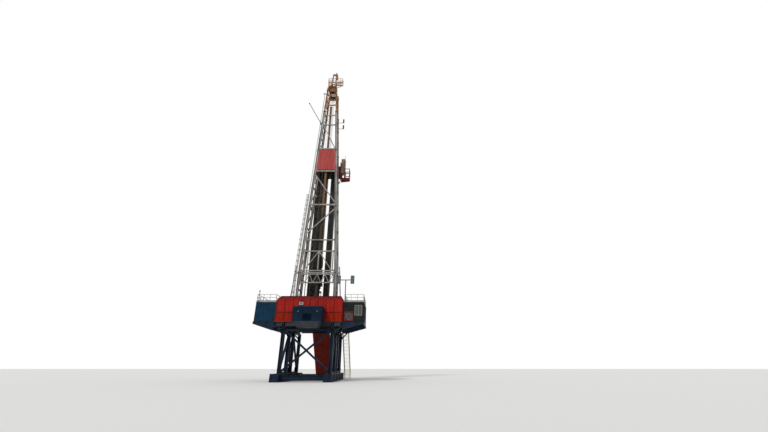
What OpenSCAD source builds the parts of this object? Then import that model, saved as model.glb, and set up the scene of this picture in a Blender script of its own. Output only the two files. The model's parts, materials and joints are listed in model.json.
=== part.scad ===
// Land drilling rig, modelled at half its real size.
// +Z is up, +Y points to the pipe ramp, and the drawworks side faces -Y.
// The origin is on the ground, at the centre of the rig's overall outline.

/* [Substructure] */
// Height of the drill floor above the ground
floor_h = 3700; // [3500:50:4000]
// Distance between the centre lines of the two base boxes
base_spread = 3300; // [3200:20:3500]
// Length of each base box
base_l = 6800; // [6400:100:7000]
// Width of each base box
base_w = 560; // [480:20:600]
// Height of each base box
base_h = 480; // [420:20:560]
// Width over the flanges of a column
column_w = 220; // [200:10:240]
// Side of a square brace in the substructure
sub_brace = 120; // [100:10:140]
// Depth of the main floor beams
floor_beam_h = 420; // [380:10:460]
// Depth of the beams round the edge of the floor
edge_beam_h = 300; // [260:10:340]
// Thickness of the deck plate
deck_t = 20; // [16:2:26]

/* [Drill floor] */
// Width of the drill floor
floor_w = 4600; // [4500:20:4700]
// Length of the drill floor, front to back
floor_l = 5200; // [5100:50:5400]
// Height of the upright part of the windwalls
windwall_h = 1480; // [1400:20:1600]
// Height of the band that leans in at the top of the windwalls
band_h = 240; // [200:10:280]
// How far the band leans in
band_lean = 190; // [150:10:220]
// Thickness of a windwall panel
windwall_t = 30; // [24:2:40]
// Width of the pipe door in the front windwall
pipe_door_w = 1500; // [1300:50:1700]
// Bore radius of the rotary table
rotary_r = 175; // [150:5:200]

/* [Houses] */
// Width of the doghouse and of the control cabin
house_w = 1400; // [1300:20:1500]
// Length of the doghouse
doghouse_l = 4200; // [3800:100:4400]
// Length of the control cabin
cabin_l = 2900; // [2600:100:3200]
// Height of the house walls
house_h = 1300; // [1240:20:1360]
// Thickness of the house walls
house_wall_t = 50; // [40:5:60]
// Thickness of the house roofs
roof_t = 50; // [40:5:60]
// Width of the drawworks house
drawworks_w = 1900; // [1800:20:2000]
// Depth of the drawworks house, front to back
drawworks_l = 950; // [850:10:1000]
// Height of the drawworks house
drawworks_h = 960; // [900:10:1040]
// How far the drawworks house stands to the right of the well
drawworks_x = 115; // [80:5:150]

/* [Mast] */
// Height of the base section of the mast
base_section_h = 3900; // [3800:50:4000]
// Height of the lower section
lower_section_h = 5650; // [5500:50:5800]
// Height of the middle section
middle_section_h = 5650; // [5600:50:5800]
// Height of the upper section
upper_section_h = 4350; // [4200:50:4500]
// Height of the crown section
crown_section_h = 2650; // [2500:50:2800]
// Distance between the rear legs at the drill floor
foot_spread = 2880; // [2800:20:2960]
// Distance between the rear legs at the top of the base section
waist_spread = 2760; // [2700:20:2800]
// Distance between the rear legs at the crown
crown_spread = 850; // [800:10:880]
// Distance from the rear legs to the front legs
mast_depth = 1200; // [1180:10:1240]
// Depth of a leg section
leg_d = 180; // [160:5:190]
// Depth and width of a leg in the crown section
crown_leg = 130; // [120:5:150]
// Width of a leg flange
leg_w = 170; // [150:5:180]
// Thickness of a leg flange
leg_flange = 18; // [14:1:22]
// Thickness of a leg web
leg_web = 14; // [12:1:18]
// Side of a brace in the mast
brace_w = 80; // [70:2:90]

/* [Racking board and pipe] */
// Height of the racking board above the drill floor
board_rise = 13300; // [13200:50:13400]
// Half width of the racking board
board_half_w = 1120; // [1115:5:1150]
// Height of the wind panels round the racking board
board_wall_h = 1400; // [1300:20:1500]
// How far the landing reaches beyond the racking board
landing_w = 830; // [800:10:900]
// Length of a stand of drill pipe
stand_l = 14300; // [14150:50:14400]
// Radius of the drill pipe
pipe_r = 32; // [28:1:34]
// Radius of the tool joints
joint_r = 41; // [38:1:42]
// Distance between stands along a finger
stand_pitch = 98; // [96:1:100]
// Distance between fingers
finger_pitch = 110; // [106:1:114]
// Number of stands along a finger in the left bank
left_stands = 10; // [8:1:10]
// Number of stands along a finger in the right bank
right_stands = 5; // [4:1:6]
// Number of rows of stands
stand_rows = 5; // [4:1:6]

/* [Hoisting gear] */
// Radius of the crown and travelling block sheaves
sheave_r = 330; // [300:5:345]
// Distance between neighbouring sheaves
sheave_pitch = 66; // [60:1:70]
// Radius of the drilling line
line_r = 9; // [8:0.5:11]
// Height of the top of the travelling block above the drill floor
block_rise = 5250; // [5200:50:5700]
// Width of the guide rail
rail_w = 170; // [160:5:200]
// Depth of the guide rail
rail_d = 160; // [140:5:180]

/* [Ramp and stairs] */
// How far the pipe ramp runs out in front of the floor
ramp_run = 3400; // [3200:50:3600]
// Width of the pipe ramp
ramp_w = 1400; // [1200:50:1500]
// Width of the stairs
stair_w = 500; // [440:10:560]
// Number of treads
treads = 35; // [32:1:37]

/* [Hidden] */
$fn = 48;

// Gap between pieces that seat on each other along a sloping face
seat = 0.5;
// Gap between a panel and the frame that it closes
panel_gap = 0.3;

// Heights
deck_under = floor_h - deck_t;
frame_under = deck_under - floor_beam_h;
waist_z = floor_h + base_section_h;
lower_top = waist_z + lower_section_h;
middle_top = lower_top + middle_section_h;
upper_top = middle_top + upper_section_h;
crown_z = upper_top + crown_section_h;
board_z = floor_h + board_rise;
block_top = floor_h + block_rise;

// Places across the rig, from the centre of the well
side_x = base_spread / 2;
floor_x = floor_w / 2;
floor_y = floor_l / 2;
house_gap = 40;
house_x0 = floor_x + house_gap;
house_x1 = house_x0 + house_w;
rear_y = -0.665 * mast_depth;
front_y = rear_y + mast_depth;
column_y = [-floor_y + 200, rear_y, front_y, floor_y - 200];
drawworks_gap = 60;
// How far the ribs stand proud of the drawworks house
hood_rib = 12;
drawworks_y1 = -floor_y - drawworks_gap;
drawworks_y0 = drawworks_y1 - drawworks_l;

// The overall outline is centred on the origin
rear_reach = max(-drawworks_y0 + hood_rib, base_l / 2);
front_reach = floor_y + ramp_run;
well_y = (rear_reach - front_reach) / 2;

// Half the distance between the mast legs at a height
function half_w(z) =
    z <= waist_z
        ? (foot_spread + (waist_spread - foot_spread) * (z - floor_h) / base_section_h) / 2
        : (waist_spread + (crown_spread - waist_spread) * (z - waist_z) / (crown_z - waist_z)) / 2;

// Sideways lean of a leg above the waist
lean = (waist_spread - crown_spread) / 2 / (crown_z - waist_z);

// Inner face of a mast leg, less the seating gap
function inner_x(z) = half_w(z) - (z > upper_top ? crown_leg : leg_d) / 2 - seat;

// Outline between two offsets from the leg's centre line, in the XZ plane
function leg_strip(z0, z1, a, b) =
    [[half_w(z0) + a, z0], [half_w(z0) + b, z0], [half_w(z1) + b, z1], [half_w(z1) + a, z1]];

// Outline of a straight bar between two points of a plane
function band(p, q, w) =
    let (d = (q - p) / norm(q - p), n = [-d.y, d.x] * w / 2) [p + n, p - n, q - n, q + n];

// Outline of a wide-flange section centred on a point
function flanged(w, h, flange, web, at = [0, 0]) =
    [for (p = [
        [-w / 2, -h / 2], [w / 2, -h / 2], [w / 2, -h / 2 + flange], [web / 2, -h / 2 + flange],
        [web / 2, h / 2 - flange], [w / 2, h / 2 - flange], [w / 2, h / 2], [-w / 2, h / 2],
        [-w / 2, h / 2 - flange], [-web / 2, h / 2 - flange], [-web / 2, -h / 2 + flange],
        [-w / 2, -h / 2 + flange]
    ]) p + at];

// A block from its lowest corner to its highest corner
module block(a, b) {
    translate(a) cube(b - a);
}

// A plate with its outline in the XZ plane
module xz_plate(points, y0, y1) {
    translate([0, y1, 0]) rotate([90, 0, 0]) linear_extrude(y1 - y0) polygon(points);
}

// A plate with its outline in the YZ plane
module yz_plate(points, x0, x1) {
    translate([x0, 0, 0]) rotate([90, 0, 90]) linear_extrude(x1 - x0) polygon(points);
}

// A plate with its outline in the XY plane
module xy_plate(points, z0, z1) {
    translate([0, 0, z0]) linear_extrude(z1 - z0) polygon(points);
}

// A square bar between two points in space
module bar(a, b, w) {
    v = b - a;
    translate(a)
        rotate([0, acos(v.z / norm(v)), atan2(v.y, v.x)])
            translate([-w / 2, -w / 2, 0]) cube([w, w, norm(v)]);
}

// A round rod between two points in space
module rod(a, b, r) {
    v = b - a;
    translate(a) rotate([0, acos(v.z / norm(v)), atan2(v.y, v.x)]) cylinder(r = r, h = norm(v));
}

// A piece and its mirror image across the rig's centre plane
module both_sides() {
    children();
    mirror([1, 0, 0]) children();
}

// A straight run of handrail along X: posts, two rails and a toe board
rail_bar = 24;
module rail_run(l, h, bays) {
    for (level = [h * 0.55, h]) translate([0, 0, level - rail_bar]) cube([l, rail_bar, rail_bar]);
    cube([l, rail_bar / 2, 60]);
    for (i = [0 : bays]) translate([(l - rail_bar) * i / bays, 0, 0]) cube([rail_bar, rail_bar, h]);
}

// A handrail round a rectangle, as four panels
module rail_box(x0, x1, y0, y1, z, h, bays_x, bays_y) {
    in = rail_bar + panel_gap;
    translate([x0, y0, z]) rail_run(x1 - x0, h, bays_x);
    translate([x0, y1, z]) mirror([0, 1, 0]) rail_run(x1 - x0, h, bays_x);
    translate([x0, y0 + in, z]) mirror([1, 0, 0]) rotate([0, 0, 90]) rail_run(y1 - y0 - 2 * in, h, bays_y);
    translate([x1, y0 + in, z]) rotate([0, 0, 90]) rail_run(y1 - y0 - 2 * in, h, bays_y);
}

// SUBSTRUCTURE

base_flange = 40;
base_web_in = 60;
bays = 8;
module base_boxes() {
    color("midnightblue") both_sides() {
        xz_plate(flanged(base_w, base_h, base_flange, base_w - 2 * base_web_in, [side_x, base_h / 2]),
                 -base_l / 2, base_l / 2);
        for (i = [0 : bays]) {
            y = -base_l / 2 + (base_l - 20) * i / bays;
            block([side_x - base_w / 2 + 8, y, base_flange],
                  [side_x + base_w / 2 - 8, y + 20, base_h - base_flange]);
        }
    }
}

spreader_h = 300;
module base_spreaders() {
    half = side_x - base_w / 2 + base_web_in - panel_gap;
    color("midnightblue")
        for (y = [for (k = [0, 2, 5, 7]) -base_l / 2 + base_l * (k + 0.5) / bays])
            yz_plate(flanged(160, spreader_h, 20, 20, [y, base_h / 2]), -half, half);
}

// Columns, chords, braces and knees of one side, each a member of its own
chord = 100;
column_web = 16;
module side_frame() {
    to_web = column_web / 2 + panel_gap;
    for (y = column_y)
        translate([side_x, y, 0]) rotate([0, 0, 90])
            xy_plate(flanged(column_w, column_w, 20, column_web), base_h, frame_under);
    low = base_h + sub_brace;
    high = frame_under - sub_brace;
    braces = [[[0, 1]], [[2, 1], [1, 2]], [[3, 2]]];
    for (i = [0 : 2]) {
        y0 = column_y[i] + to_web;
        y1 = column_y[i + 1] - to_web;
        block([side_x - chord / 2, y0, base_h], [side_x + chord / 2, y1, base_h + chord]);
        block([side_x - chord / 2, y0, frame_under - chord], [side_x + chord / 2, y1, frame_under]);
        intersection() {
            block([side_x - sub_brace, y0, base_h + chord + panel_gap],
                  [side_x + sub_brace, y1, frame_under - chord - panel_gap]);
            for (run = braces[i])
                yz_plate(band([column_y[run[0]], low], [column_y[run[1]], high], sub_brace),
                         side_x - sub_brace / 2, side_x + sub_brace / 2);
        }
    }
    // Knees that carry the overhang of the floor
    knee_x = side_x + column_w / 2 + panel_gap;
    knee_z = deck_under - edge_beam_h - panel_gap;
    reach = floor_x - 60 - knee_x;
    for (y = column_y)
        xz_plate([[knee_x, knee_z - reach], [knee_x + reach, knee_z],
                  [knee_x + reach - sub_brace, knee_z], [knee_x, knee_z - reach + sub_brace]],
                 y - sub_brace / 2, y + sub_brace / 2);
}

module side_frame_right() {
    color("darkblue") side_frame();
}

module side_frame_left() {
    color("darkblue") mirror([1, 0, 0]) side_frame();
}

module rear_bracing() {
    half = side_x - column_w / 2 - panel_gap;
    y = column_y[0];
    low = base_h + sub_brace + panel_gap;
    high = frame_under - sub_brace;
    color("darkblue") intersection() {
        block([-half, y - sub_brace, base_h + panel_gap], [half, y + sub_brace, frame_under - panel_gap]);
        union() {
            for (s = [-1, 1])
                xz_plate(band([s * half * 1.1, low - 0.1 * (high - low) / 2],
                              [-s * half * 1.1, high + 0.1 * (high - low) / 2], sub_brace),
                         y - sub_brace / 2, y + sub_brace / 2);
            xz_plate(band([-half, high], [half, high], sub_brace), y - sub_brace / 2, y + sub_brace / 2);
        }
    }
}

rotary_beam_x = 480;
main_flange_w = 200;
edge_flange_w = 120;
// Beams of the floor. The cross beams run between the flange tips of the long ones.
module floor_frame() {
    main_z = deck_under - floor_beam_h / 2;
    edge_z = deck_under - edge_beam_h / 2;
    edge_x = floor_x - edge_flange_w / 2;
    tip = edge_flange_w / 2;
    inner = side_x - main_flange_w / 2 - panel_gap;
    outer = side_x + main_flange_w / 2 + panel_gap;
    end = edge_x - tip - panel_gap;
    edge_section = flanged(edge_flange_w, edge_beam_h, 20, 14);
    color("slategray") {
        both_sides() {
            xz_plate(flanged(main_flange_w, floor_beam_h, 24, 18, [side_x, main_z]), -floor_y, floor_y);
            xz_plate([for (p = edge_section) p + [edge_x, edge_z]], -floor_y, floor_y);
            xz_plate([for (p = edge_section) p + [rotary_beam_x, edge_z]],
                     rear_y + tip + panel_gap, front_y - tip - panel_gap);
        }
        for (y = [-floor_y + tip, rear_y, front_y, (front_y + floor_y) / 2, floor_y - tip],
             span = [[-end, -outer], [-inner, inner], [outer, end]])
            yz_plate([for (p = edge_section) p + [y, edge_z]], span[0], span[1]);
    }
}

barrel_r = 300;
module deck() {
    color("dimgray") difference() {
        block([-floor_x, -floor_y, deck_under], [floor_x, floor_y, floor_h]);
        translate([0, 0, deck_under - 10]) cylinder(r = barrel_r, h = deck_t + 20);
    }
}

rotary_rise = 70;
rotary_drop = 220;
module rotary_table() {
    color("darkgray") rotate_extrude() polygon([
        [rotary_r, floor_h - rotary_drop], [barrel_r - 4, floor_h - rotary_drop],
        [barrel_r - 4, floor_h], [430, floor_h], [430, floor_h + rotary_rise - 25],
        [405, floor_h + rotary_rise], [rotary_r, floor_h + rotary_rise]
    ]);
}

// RAMP AND STAIRS

module pipe_ramp() {
    plate = 70;
    guard = 140;
    y0 = floor_y + panel_gap;
    y1 = floor_y + ramp_run;
    slope = atan2(floor_h, y1 - y0);
    lift = plate / cos(slope);
    foot = plate / sin(slope);
    color("firebrick") {
        yz_plate([[y0, floor_h], [y1, 0], [y1 - foot, 0], [y0, floor_h - lift]], -ramp_w / 2, ramp_w / 2);
        for (x = [-ramp_w / 2, ramp_w / 2 - 30])
            yz_plate([[y0, floor_h + guard], [y1, guard], [y1, 0], [y0, floor_h]], x, x + 30);
        // Sill beam that bears on the edge of the floor, and the legs that prop the ramp
        block([-ramp_w / 2, y0, deck_under - edge_beam_h], [ramp_w / 2, y0 + 60, floor_h - 20]);
    }
}

stair_x1 = floor_x - 60;
stair_x0 = stair_x1 - stair_w;
stair_run = ramp_run - 20;
tread_d = 130;
tread_t = 16;
stringer_t = 30;
module stair_stringers() {
    slope = atan2(floor_h, stair_run);
    depth = 150;
    lift = depth / cos(slope);
    foot = depth / sin(slope);
    y0 = floor_y + panel_gap;
    y1 = floor_y + stair_run;
    rail_h = 500;
    post_count = 7;
    color("gold") for (x = [stair_x0, stair_x1 - stringer_t]) {
        yz_plate([[y0, floor_h], [y1, 0], [y1 - foot, 0], [y0, floor_h - lift]], x, x + stringer_t);
        for (h = [rail_h * 0.5, rail_h])
            yz_plate([[y0, floor_h + h], [y1 - 80, h + 80 * floor_h / stair_run],
                      [y1 - 80, h + 80 * floor_h / stair_run - 34], [y0, floor_h + h - 34]],
                     x + 3, x + stringer_t - 3);
        for (i = [0 : post_count]) {
            y = y0 + 4 + (y1 - y0 - 116) * i / post_count;
            z = floor_h - (y - y0) * floor_h / stair_run;
            block([x + 3, y, z - depth / 2], [x + stringer_t - 3, y + 24, z + rail_h - 30]);
        }
    }
}

module stair_treads() {
    color("gray") for (i = [1 : treads]) {
        z = floor_h * (1 - i / (treads + 1));
        y = floor_y + stair_run * (1 - z / floor_h);
        block([stair_x0 + stringer_t + panel_gap, y - tread_d - 6, z - tread_t],
              [stair_x1 - stringer_t - panel_gap, y - 6, z]);
    }
}

// WINDWALLS

// Cross-section of a wall that stands at a distance from the centre and leans in at its top
function wall_section(out, t) = [
    [-out, floor_h], [-out, floor_h + windwall_h],
    [-out + band_lean, floor_h + windwall_h + band_h],
    [-out + band_lean + t, floor_h + windwall_h + band_h],
    [-out + t, floor_h + windwall_h], [-out + t, floor_h]
];

batten = 44;
batten_t = 20;
seam_z = floor_h + 570;
module wall_battens(out, from, to, count) {
    for (i = [0 : count]) {
        x = from + (to - from - batten) * i / count;
        block([x, -out - batten_t, floor_h], [x + batten, -out + 1, floor_h + windwall_h]);
    }
    block([from, -out - batten_t, seam_z], [to, -out + 1, seam_z + batten]);
    block([from, -out - batten_t, floor_h], [to, -out + 1, floor_h + batten]);
    block([from, -out - batten_t, floor_h + windwall_h - batten], [to, -out + 1, floor_h + windwall_h]);
}

// The mitre at each corner leaves a plain vertical joint
module mitred(out, half) {
    reach = band_lean + 3 * windwall_t;
    m = panel_gap;
    intersection() {
        children();
        xy_plate([[-half - m, -out - 2 * batten_t], [half + m, -out - 2 * batten_t],
                  [half - m, -out], [half - reach - m, -out + reach],
                  [-half + reach + m, -out + reach], [-half + m, -out]],
                 floor_h, floor_h + windwall_h + band_h);
    }
}

wall_y = floor_y - batten_t;
wall_x = floor_x - batten_t;
module rear_windwall() {
    color("orangered") mitred(wall_y, wall_x) {
        yz_plate(wall_section(wall_y, windwall_t), -wall_x, wall_x);
        wall_battens(wall_y, -wall_x, wall_x, 8);
    }
}

door_y0 = 200;
door_w = 450;
door_h = 1050;
module side_windwall(holes) {
    // The wall is made facing -Y and turned to the right-hand side
    difference() {
        rotate([0, 0, 90]) mitred(wall_x, wall_y) {
            yz_plate(wall_section(wall_x, windwall_t), -wall_y, wall_y);
            wall_battens(wall_x, -wall_y, wall_y, 9);
        }
        for (h = holes)
            block([wall_x - 200, h[0].y, h == holes[0] ? floor_h - 10 : h[0].z],
                  [floor_x + 10, h[1].y, h[1].z]);
    }
}

module side_windwalls() {
    color("red") {
        side_windwall([cabin_door, cabin_window]);
        mirror([1, 0, 0]) side_windwall([inner_door, dog_window]);
    }
}

module front_windwall() {
    color("red") rotate([0, 0, 180]) difference() {
        mitred(wall_y, wall_x) {
            yz_plate(wall_section(wall_y, windwall_t), -wall_x, wall_x);
            wall_battens(wall_y, -wall_x, wall_x, 8);
        }
        block([-pipe_door_w / 2, -floor_y - 10, floor_h - 10],
              [pipe_door_w / 2, -floor_y + 500, floor_h + windwall_h + band_h + 10]);
        // The stair head opens through the wall
        block([-stair_x1, -floor_y - 10, floor_h - 10],
              [-stair_x0, -floor_y + 500, floor_h + windwall_h + band_h + 10]);
    }
}

// HOUSES

house_floor_t = 40;
house_rib = 34;
house_rib_t = 14;
house_top = floor_h + house_h;

// Floor, end walls and side walls of a house on the right-hand side, each a panel of its own with its
// ribs. The openings of the rear end wall and of the inner wall are cut through.
module house_panels(y0, y1, rear_openings, inner_openings, end_count, side_count) {
    in_y0 = y0 + house_wall_t + panel_gap;
    in_y1 = y1 - house_wall_t - panel_gap;
    block([house_x0 + house_wall_t + panel_gap, in_y0, floor_h],
          [house_x1 - house_wall_t - panel_gap, in_y1, floor_h + house_floor_t]);
    difference() {
        union() {
            block([house_x0, y0, floor_h], [house_x1, y0 + house_wall_t, house_top]);
            end_ribs(y0 - house_rib_t, y0 + 1, end_count);
        }
        for (o = rear_openings) block(o[0], o[1]);
    }
    block([house_x0, y1 - house_wall_t, floor_h], [house_x1, y1, house_top]);
    end_ribs(y1 - 1, y1 + house_rib_t, end_count);
    block([house_x1 - house_wall_t, in_y0, floor_h], [house_x1, in_y1, house_top]);
    for (i = [0 : side_count]) {
        y = in_y0 + (in_y1 - in_y0 - house_rib) * i / side_count;
        block([house_x1 - 1, y, floor_h], [house_x1 + house_rib_t, y + house_rib, house_top]);
    }
    difference() {
        block([house_x0, in_y0, floor_h], [house_x0 + house_wall_t, in_y1, house_top]);
        for (o = inner_openings) block(o[0], o[1]);
    }
}

// Upright ribs of an end wall
module end_ribs(y0, y1, count) {
    for (i = [0 : count]) {
        x = house_x0 + (house_w - house_rib) * i / count;
        block([x, y0, floor_h], [x + house_rib, y1, house_top]);
    }
}

house_y0 = -floor_y + 120;
doghouse_y1 = house_y0 + doghouse_l;
cabin_y1 = house_y0 + cabin_l;

// Door and window openings in the inner wall, as lowest and highest corners
inner_door = [[house_x0 - 10, door_y0, floor_h + house_floor_t],
              [house_x0 + house_wall_t + 10, door_y0 + door_w, floor_h + door_h]];
dog_window = [[house_x0 - 10, -1600, floor_h + 550], [house_x0 + house_wall_t + 10, -500, floor_h + 1050]];
cabin_window = [[house_x0 - 10, -1900, floor_h + 420], [house_x0 + house_wall_t + 10, -150, floor_h + 1100]];
// Low window in the cabin's rear wall, with a guard on it
guard_window = [[house_x0 + 110, house_y0 - 30, floor_h + 90],
                [house_x0 + 640, house_y0 + house_wall_t + 10, floor_h + 600]];
rear_window = [[house_x0 + 800, house_y0 - 30, floor_h + 430],
               [house_x0 + 1250, house_y0 + house_wall_t + 10, floor_h + 1050]];
cabin_door = [[house_x0 - 10, -80, floor_h + house_floor_t],
              [house_x0 + house_wall_t + 10, 370, floor_h + door_h]];

module doghouse_walls() {
    color("steelblue") mirror([1, 0, 0])
        house_panels(house_y0, doghouse_y1, [], [inner_door, dog_window], 5, 14);
}

module house_roof(y0, y1) {
    eave = 30;
    block([house_x0, y0 - eave, house_top], [house_x1 + eave, y1 + eave, house_top + roof_t]);
    for (i = [0 : 6]) {
        y = y0 + (y1 - y0 - house_rib) * i / 6;
        block([house_x0 + 20, y, house_top + roof_t - 1],
              [house_x1, y + house_rib, house_top + roof_t + house_rib_t]);
    }
}

module doghouse_roof() {
    color("lightsteelblue") mirror([1, 0, 0]) house_roof(house_y0, doghouse_y1);
}

module doghouse_door() {
    g = panel_gap;
    color("royalblue") mirror([1, 0, 0]) {
        block(inner_door[0] + [20, g, g], inner_door[1] + [-30, -g, -g]);
        // Pull handle
        block(inner_door[0] + [5, 60, 480], inner_door[0] + [21, 80, 620]);
    }
}

module cabin_walls() {
    color("darkslategray")
        house_panels(house_y0, cabin_y1, [guard_window, rear_window], [cabin_door, cabin_window], 5, 10);
}

module cabin_roof() {
    color("slategray") house_roof(house_y0, cabin_y1);
}

// One sheet closes each window
module window_glass() {
    g = panel_gap;
    color("lightblue") {
        mirror([1, 0, 0]) block(dog_window[0] + [30, g, g], dog_window[1] + [-34, -g, -g]);
        block(cabin_window[0] + [30, g, g], cabin_window[1] + [-34, -g, -g]);
        for (w = [guard_window, rear_window]) block(w[0] + [g, 54, g], w[1] + [-g, -30, -g]);
    }
}

// Red frame with crossed bars over the low window
module window_guard() {
    a = guard_window[0];
    b = guard_window[1];
    y1 = house_y0 - house_rib_t - panel_gap;
    frame = 50;
    centre = [(a.x + b.x) / 2, (a.z + b.z) / 2];
    color("darkred") {
        difference() {
            block([a.x - frame, y1 - 30, a.z - frame], [b.x + frame, y1, b.z + frame]);
            block([a.x, y1 - 40, a.z], [b.x, y1 + 10, b.z]);
        }
        for (s = [-1, 1])
            xz_plate(band([a.x, centre.y - s * (b.z - a.z) / 2], [b.x, centre.y + s * (b.z - a.z) / 2], 26),
                     y1 - 24, y1 - 6);
    }
}

module roof_rails() {
    z = house_top + roof_t + house_rib_t;
    color("gainsboro") {
        mirror([1, 0, 0]) rail_box(house_x0 + 40, house_x1 - 20, house_y0, doghouse_y1, z, 480, 3, 7);
        rail_box(house_x0 + 40, house_x1 - 20, house_y0, cabin_y1, z, 480, 3, 5);
    }
}

// Plate, edge beam and cantilever brackets that carry a house
porch_t = deck_t;
module side_porch(y1, count) {
    x0 = floor_x + panel_gap;
    x1 = house_x1 + 30;
    y0 = house_y0 - 60;
    top = floor_h - porch_t - panel_gap;
    beam_x = x1 - 40;
    block([x0, y0, floor_h - porch_t], [x1, y1, floor_h]);
    block([beam_x, y0, floor_h - 160], [x1, y1, top]);
    for (i = [0 : count]) {
        y = y0 + 20 + (y1 - y0 - 100) * i / count;
        xz_plate([[x0, top], [beam_x - panel_gap, top], [beam_x - panel_gap, floor_h - 155],
                  [x0, floor_h - 540]],
                 y, y + 50);
        block([x0, y - 20, floor_h - 560], [x0 + 30, y + 70, top]);
    }
}

module side_porches() {
    color("darkslateblue") {
        side_porch(cabin_y1 + 200, 3);
        mirror([1, 0, 0]) side_porch(doghouse_y1 + 200, 4);
    }
}

// Closed hood over the drawworks, with a louvre in its rear face
drawworks_z = floor_h - 100;
hood_top = drawworks_z + drawworks_h;
slot_deep = 200;
module drawworks_house() {
    top = hood_top;
    half = drawworks_w / 2;
    louvre_w = 580;
    louvre_z = drawworks_z + 60;
    louvre_h = 400;
    slats = 6;
    corner = 60;
    color("midnightblue") translate([drawworks_x, 0, 0]) difference() {
        union() {
            yz_plate([[drawworks_y0, drawworks_z], [drawworks_y0, top - corner],
                      [drawworks_y0 + corner, top], [drawworks_y1, top], [drawworks_y1, drawworks_z]],
                     -half, half);
            for (x = [-half, -half / 3, half / 3 - 20, half - 20])
                block([x, drawworks_y0 - hood_rib, drawworks_z], [x + 20, drawworks_y0 + 1, top - corner - 20]);
            block([-half, drawworks_y0 - hood_rib, top - corner - 50],
                  [half, drawworks_y0 + 1, top - corner - 20]);
        }
        block([-louvre_w / 2, drawworks_y0 - 20, louvre_z],
              [louvre_w / 2, drawworks_y0 + 60, louvre_z + louvre_h]);
        // Slot that the fast line passes through
        block([fast_x - drawworks_x - 60, drawworks_y0 + 250, top - slot_deep],
              [fast_x - drawworks_x + 60, drawworks_y1 - 120, top + 10]);
    }
    color("midnightblue") translate([drawworks_x, 0, 0]) for (i = [0 : slats - 1]) {
        z = louvre_z + louvre_h * (i + 0.5) / slats;
        yz_plate([[drawworks_y0 - 4, z - 26], [drawworks_y0 - 4, z - 18], [drawworks_y0 + 61, z + 26],
                  [drawworks_y0 + 61, z + 18]], -louvre_w / 2 - 1, louvre_w / 2 + 1);
    }
}

// Tapered pan and the two beams that hang the drawworks on the floor
module drawworks_skid() {
    half = drawworks_w / 2;
    pan_h = 380;
    color("slategray") translate([drawworks_x, 0, 0]) {
        xz_plate([[-half + 40, drawworks_z], [half - 40, drawworks_z], [half - 300, drawworks_z - pan_h],
                  [-half + 300, drawworks_z - pan_h]], drawworks_y0 + 30, drawworks_y1 - 40);
        for (x = [-half + 330, half - 450])
            block([x, drawworks_y0 + 60, drawworks_z - 180], [x + 120, -floor_y - panel_gap, drawworks_z - 20]);
    }
}

// MAST

splice_t = 25;
splice_lip = 22;

// One leg of a section, with the splice plates at its ends
module leg(z0, z1, y, plate_low = true, plate_high = true) {
    slim = z0 >= upper_top;
    d = slim ? crown_leg : leg_d;
    w = slim ? crown_leg : leg_w;
    near = y - leg_w / 2;
    far = y + leg_w / 2;
    xz_plate(leg_strip(z0, z1, -d / 2, -d / 2 + leg_flange), y - w / 2, y + w / 2);
    xz_plate(leg_strip(z0, z1, d / 2 - leg_flange, d / 2), y - w / 2, y + w / 2);
    xz_plate(leg_strip(z0, z1, -d / 2, d / 2), y - leg_web / 2, y + leg_web / 2);
    if (plate_low)
        xz_plate(leg_strip(z0, z0 + splice_t, -leg_d / 2 - splice_lip, leg_d / 2 + splice_lip),
                 near - splice_lip, far + splice_lip);
    if (plate_high)
        xz_plate(leg_strip(z1 - splice_t, z1, -leg_d / 2 - splice_lip, leg_d / 2 + splice_lip),
                 near - splice_lip, far + splice_lip);
}

// Height of a girt just inside a section's splice
splice_in = splice_t + brace_w / 2 + 12;

// Cross bar of a side face at a height
module side_girt(z) {
    block([half_w(z) - brace_w / 2, rear_y, z - brace_w / 2],
          [half_w(z) + brace_w / 2, front_y, z + brace_w / 2]);
}

// Zigzag of a side face through a list of heights
module side_zigzag(heights) {
    for (i = [0 : len(heights) - 2]) {
        y0 = i % 2 == 0 ? rear_y : front_y;
        y1 = i % 2 == 0 ? front_y : rear_y;
        bar([half_w(heights[i]), y0, heights[i]], [half_w(heights[i + 1]), y1, heights[i + 1]], brace_w * 0.75);
    }
}

// Evenly spaced heights inside a section
function levels(z0, z1, n) = [for (i = [0 : n]) z0 + splice_in + (z1 - z0 - 2 * splice_in) * i / n];

module side_section(z0, z1, n, plate_low = true, plate_high = true) {
    heights = levels(z0, z1, n);
    for (y = [rear_y, front_y]) leg(z0, z1, y, plate_low, plate_high);
    for (z = heights) side_girt(z);
    side_zigzag(heights);
}

// Girt of a face between the legs, centred on a height
module face_girt(z, y, h = brace_w) {
    lo = z - h / 2;
    hi = z + h / 2;
    xz_plate([[-inner_x(lo), lo], [inner_x(lo), lo], [inner_x(hi), hi], [-inner_x(hi), hi]],
             y - brace_w / 2, y + brace_w / 2);
}

// Diagonal of a face, from one leg at z0 to the other at z1. s is 1 when it rises to the right.
module face_diagonal(z0, z1, y, s) {
    intersection() {
        xz_plate([[-inner_x(z0), z0], [inner_x(z0), z0], [inner_x(z1), z1], [-inner_x(z1), z1]],
                 y - brace_w / 2, y + brace_w / 2);
        xz_plate(band([-s * inner_x(z0), z0], [s * inner_x(z1), z1], brace_w), y - brace_w, y + brace_w);
    }
}

module upright(x, z0, z1, y) {
    block([x - brace_w / 2, y - brace_w / 2, z0], [x + brace_w / 2, y + brace_w / 2, z1]);
}

shoe_h = 60;
module mast_base_sides() {
    color("silver") both_sides() {
        side_section(floor_h + shoe_h, waist_z, 3, false, true);
        for (y = [rear_y, front_y])
            block([half_w(floor_h) - 210, y - 200, floor_h],
                  [half_w(floor_h) + 210, y + 200, floor_h + shoe_h]);
    }
}

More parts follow.
